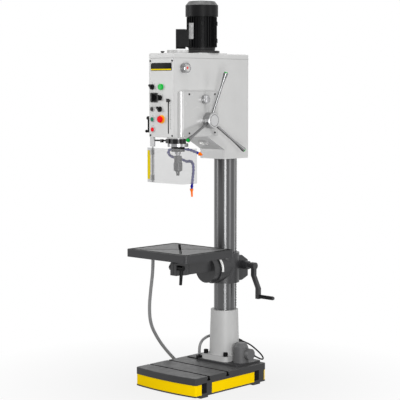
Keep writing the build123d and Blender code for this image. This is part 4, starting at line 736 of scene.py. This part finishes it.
# Tilt scale on the rim of the trunnion
scale_white = plastic("scale_white", (0.8, 0.8, 0.79), 0.4, 0.02)
scale_low, scale_high = math.radians(-8), math.radians(42)
scale_wide = 0.017
scale_setback = 0.0105
scale_sunk, scale_proud = 0.0003, 0.0005
scale_y = trunnion_front + scale_setback
scale_under = trunnion_r - scale_sunk
scale_over = trunnion_r + scale_proud
scale_steps = 28
tilt_marks = 19
tilt_mark_wide, tilt_mark_thick = 0.0009, 0.0001
long_tilt_mark, short_tilt_mark = 0.010, 0.006


def on_trunnion(radius, angle, y):
    return Vector((radius * math.cos(angle), y, trunnion_z + radius * math.sin(angle)))


mesh = bmesh.new()
rows = []
for n in range(scale_steps + 1):
    angle = scale_low + (scale_high - scale_low) * n / scale_steps
    corners = ((scale_under, -1), (scale_under, 1), (scale_over, 1), (scale_over, -1))
    rows.append([mesh.verts.new(on_trunnion(radius, angle, scale_y + side * scale_wide / 2))
                 for radius, side in corners])
tube(mesh, rows)
finish_mesh("tilt_scale", mesh, scale_white, "bracket")
mesh = bmesh.new()
for n in range(tilt_marks):
    angle = scale_low + (scale_high - scale_low) * (n + 0.5) / tilt_marks
    outward = Vector((math.cos(angle), 0, math.sin(angle)))
    long = long_tilt_mark if n % 5 == 2 else short_tilt_mark
    spot = on_trunnion(scale_over, angle, scale_y - scale_wide / 2 + long / 2)
    slab(mesh, spot, to_rear, outward.cross(Vector(to_rear)), long, tilt_mark_wide, tilt_mark_thick)
finish_mesh("tilt_marks", mesh, ink, "bracket", smooth=False)

# Yellow strip on the wing of the guard
strip_wide, strip_high, strip_thick = 0.030, 0.158, 0.0003
strip_corner = 0.002
strip_z = 1.246
strip_inset = 0.0165
wing_dir = Vector((-math.cos(guard_wing_turn), math.sin(guard_wing_turn), 0))
wing_out = Vector((-math.sin(guard_wing_turn), -math.cos(guard_wing_turn), 0))
wing_start = Vector((guard_left, guard_y, strip_z))
strip_middle = wing_start + wing_dir * (guard_wing - strip_inset) + wing_out * guard_half_sheet
mesh = bmesh.new()
slab(mesh, strip_middle, -wing_dir, to_top, strip_wide, strip_high, strip_thick, strip_corner)
finish_mesh("guard_strip", mesh, band_skin, "guard")

# Breather plug on the head: radius and height of each ring of its outline
plug_rings = (
    (0.0095, 0.0),
    (0.0095, 0.003),
    (0.0065, 0.004),
    (0.0065, 0.006),
    (0.011, 0.0065),
    (0.0115, 0.0085),
    (0.011, 0.0105),
    (0.007, 0.012),
)
plug_place = Vector((-0.045, -0.452, head_top))
round_sides = 20
mesh = bmesh.new()
tube(mesh, [
    ring(mesh, plug_place + Vector(to_top) * z, Vector(to_right), Vector(to_rear), radius, round_sides)
    for radius, z in plug_rings
])
finish_mesh("breather_plug", mesh, plastic("plug_plastic", black, 0.4, gloss=0.25), "frame")


def route(name, points, bevel=0.0):
    curve = bpy.data.curves.new(name, "CURVE")
    curve.dimensions = "3D"
    curve.resolution_u = 16
    curve.bevel_depth = bevel
    curve.bevel_resolution = 6
    curve.use_fill_caps = bevel > 0
    spline = curve.splines.new("NURBS")
    spline.points.add(len(points) - 1)
    for point, place in zip(spline.points, points):
        point.co = (*place, 1)
    spline.order_u = 3
    spline.use_endpoint_u = True
    piece = bpy.data.objects.new(name, curve)
    bpy.context.scene.collection.objects.link(piece)
    return piece


def length_of(points):
    return sum((Vector(b) - Vector(a)).length for a, b in zip(points, points[1:]))


def line_of(points):
    """The points along the smooth line of a route."""
    guide = route("guide", points)
    bpy.context.view_layer.update()
    mesh = bpy.data.meshes.new_from_object(guide.evaluated_get(bpy.context.evaluated_depsgraph_get()))
    line = [v.co.copy() for v in mesh.vertices]
    bpy.data.meshes.remove(mesh)
    bpy.data.curves.remove(guide.data)
    return line


def frames_along(line):
    """A right and an up at each point, carried along with no twist."""
    right = Vector(to_right)
    made = []
    for n, spot in enumerate(line):
        ahead = (line[min(n + 1, len(line) - 1)] - line[max(n - 1, 0)]).normalized()
        right = (right - ahead * right.dot(ahead)).normalized()
        made.append((right.copy(), ahead.cross(right)))
    return made


# Supply hose and pump cable
hose_pvc = plastic("hose_pvc", (0.22, 0.22, 0.222), 0.36, 0.05, gloss=0.4)
cable_rubber = plastic("cable_rubber", (0.003, 0.003, 0.0032), 0.45, 0.05, gloss=0.1)
for name, points, radius, surface, stiffness, node in (
    ("supply_hose_line", supply_line, supply_r, hose_pvc, "stiff", "supply_hose"),
    ("pump_cable_line", cable_line, cable_r, cable_rubber, "medium", "pump_cable"),
):
    long = length_of(line_of(points))
    piece = route(name, points, radius)
    piece.data.materials.append(surface.material)
    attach(piece, "frame")
    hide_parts(node)

# Drain hose: a tube in four lengths, each down to a height
drain = line_of(drain_line)
drain_frames = frames_along(drain)
drain_lengths = (
    ("drain_hose_top", "table", "arm", 0.600),
    ("drain_hose_upper", "arm", "bracket", 0.460),
    ("drain_hose_middle", "bracket", "rack", 0.250),
    ("drain_hose_low", "rack", "frame", -1.0),
)
start = 0
for name, upper, lower, low_z in drain_lengths:
    end = next((n for n, p in enumerate(drain) if p.z < low_z), len(drain) - 1)
    line = drain[start:end + 1]
    mesh = bmesh.new()
    tube(mesh, [ring(mesh, spot, right, up, drain_r, round_sides)
                for spot, (right, up) in zip(line, drain_frames[start:end + 1])])
    piece = finish_mesh(name, mesh, hose_pvc, None)
    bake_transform(piece)
    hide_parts("drain_hose")
    start = end

# Camera at the place the photograph was taken from
camera_data = bpy.data.cameras.new("camera")
camera_data.sensor_width = 36.0
camera_data.lens = 116.68
camera = bpy.data.objects.new("camera", camera_data)
camera.location = (4.914, -5.4519, 1.6745)
camera.rotation_euler = (math.radians(84.996), 0, math.radians(43.12))
bpy.context.scene.collection.objects.link(camera)
bpy.context.scene.camera = camera

# Floor, white in the picture and in reflections but for the object's shadow, which fades out with distance
white_rays = ("Is Camera Ray", "Is Glossy Ray", "Is Transmission Ray")
floor_half = 30
shadow_middle = (0, -0.2, 0)
white_near, white_far = 0.86, 1.0
fade_start, fade_end = 0.4, 1.5
floor_mesh = bpy.data.meshes.new("floor")
corners = [(sx * floor_half, sy * floor_half, 0) for sx, sy in ((-1, -1), (1, -1), (1, 1), (-1, 1))]
floor_mesh.from_pydata(corners, [], [(0, 1, 2, 3)])
floor = bpy.data.objects.new("floor", floor_mesh)
bpy.context.scene.collection.objects.link(floor)
s = Surface("floor", Specular_IOR_Level=0.0, Roughness=1.0)
s.colour(s.mix(s.span(s.noise(3.0), 0, 1), (0.24, 0.24, 0.24), (0.27, 0.27, 0.27)))
glow = s.add("ShaderNodeEmission", {"Strength": 1.0})
path = s.add("ShaderNodeLightPath")
seen = s.either(*[path.outputs[ray] for ray in white_rays])
away = s.span(s.reach(shadow_middle, round_z), white_near, white_far, fade_start, fade_end)
mixed = s.add("ShaderNodeMixShader", {0: s.times(seen, away), 1: s.shader.outputs[0], 2: glow.outputs[0]})
s.tree.links.new(mixed.outputs[0], s.tree.nodes["Material Output"].inputs[0])
floor_mesh.materials.append(s.material)

# World: white to the camera and in reflections, soft light on the object
soft_light = 0.54
world = bpy.data.worlds.new("world")
bpy.context.scene.world = world
world.use_nodes = True
tree = world.node_tree
path = tree.nodes.new("ShaderNodeLightPath")
seen = path.outputs[white_rays[0]]
for ray in white_rays[1:]:
    larger = tree.nodes.new("ShaderNodeMath")
    larger.operation = "MAXIMUM"
    tree.links.new(seen, larger.inputs[0])
    tree.links.new(path.outputs[ray], larger.inputs[1])
    seen = larger.outputs[0]
level = tree.nodes.new("ShaderNodeMapRange")
level.inputs["To Min"].default_value = soft_light
level.inputs["To Max"].default_value = 1.0
tree.links.new(seen, level.inputs["Value"])
back = tree.nodes["Background"]
back.inputs["Color"].default_value = (1, 1, 1, 1)
tree.links.new(level.outputs[0], back.inputs["Strength"])


def lamp(name, place, width, height, power):
    data = bpy.data.lights.new(name, "AREA")
    data.shape = "RECTANGLE"
    data.size = width
    data.size_y = height
    data.energy = power
    light = bpy.data.objects.new(name, data)
    light.location = place
    light.rotation_euler = (lit_middle - Vector(place)).to_track_quat("-Z", "Y").to_euler()
    bpy.context.scene.collection.objects.link(light)


lit_middle = Vector((0, -0.2, 1.05))
lamp("key", (3.2, -2.7, 1.05), 1.4, 2.0, 100)
lamp("right", (3.5, 0.9, 1.9), 1.4, 3.0, 30)
lamp("left", (-2.9, -3.0, 2.2), 1.4, 2.6, 46)
lamp("top", (0.4, -0.8, 4.6), 1.4, 1.4, 44)

bpy.context.scene.view_settings.view_transform = "Standard"
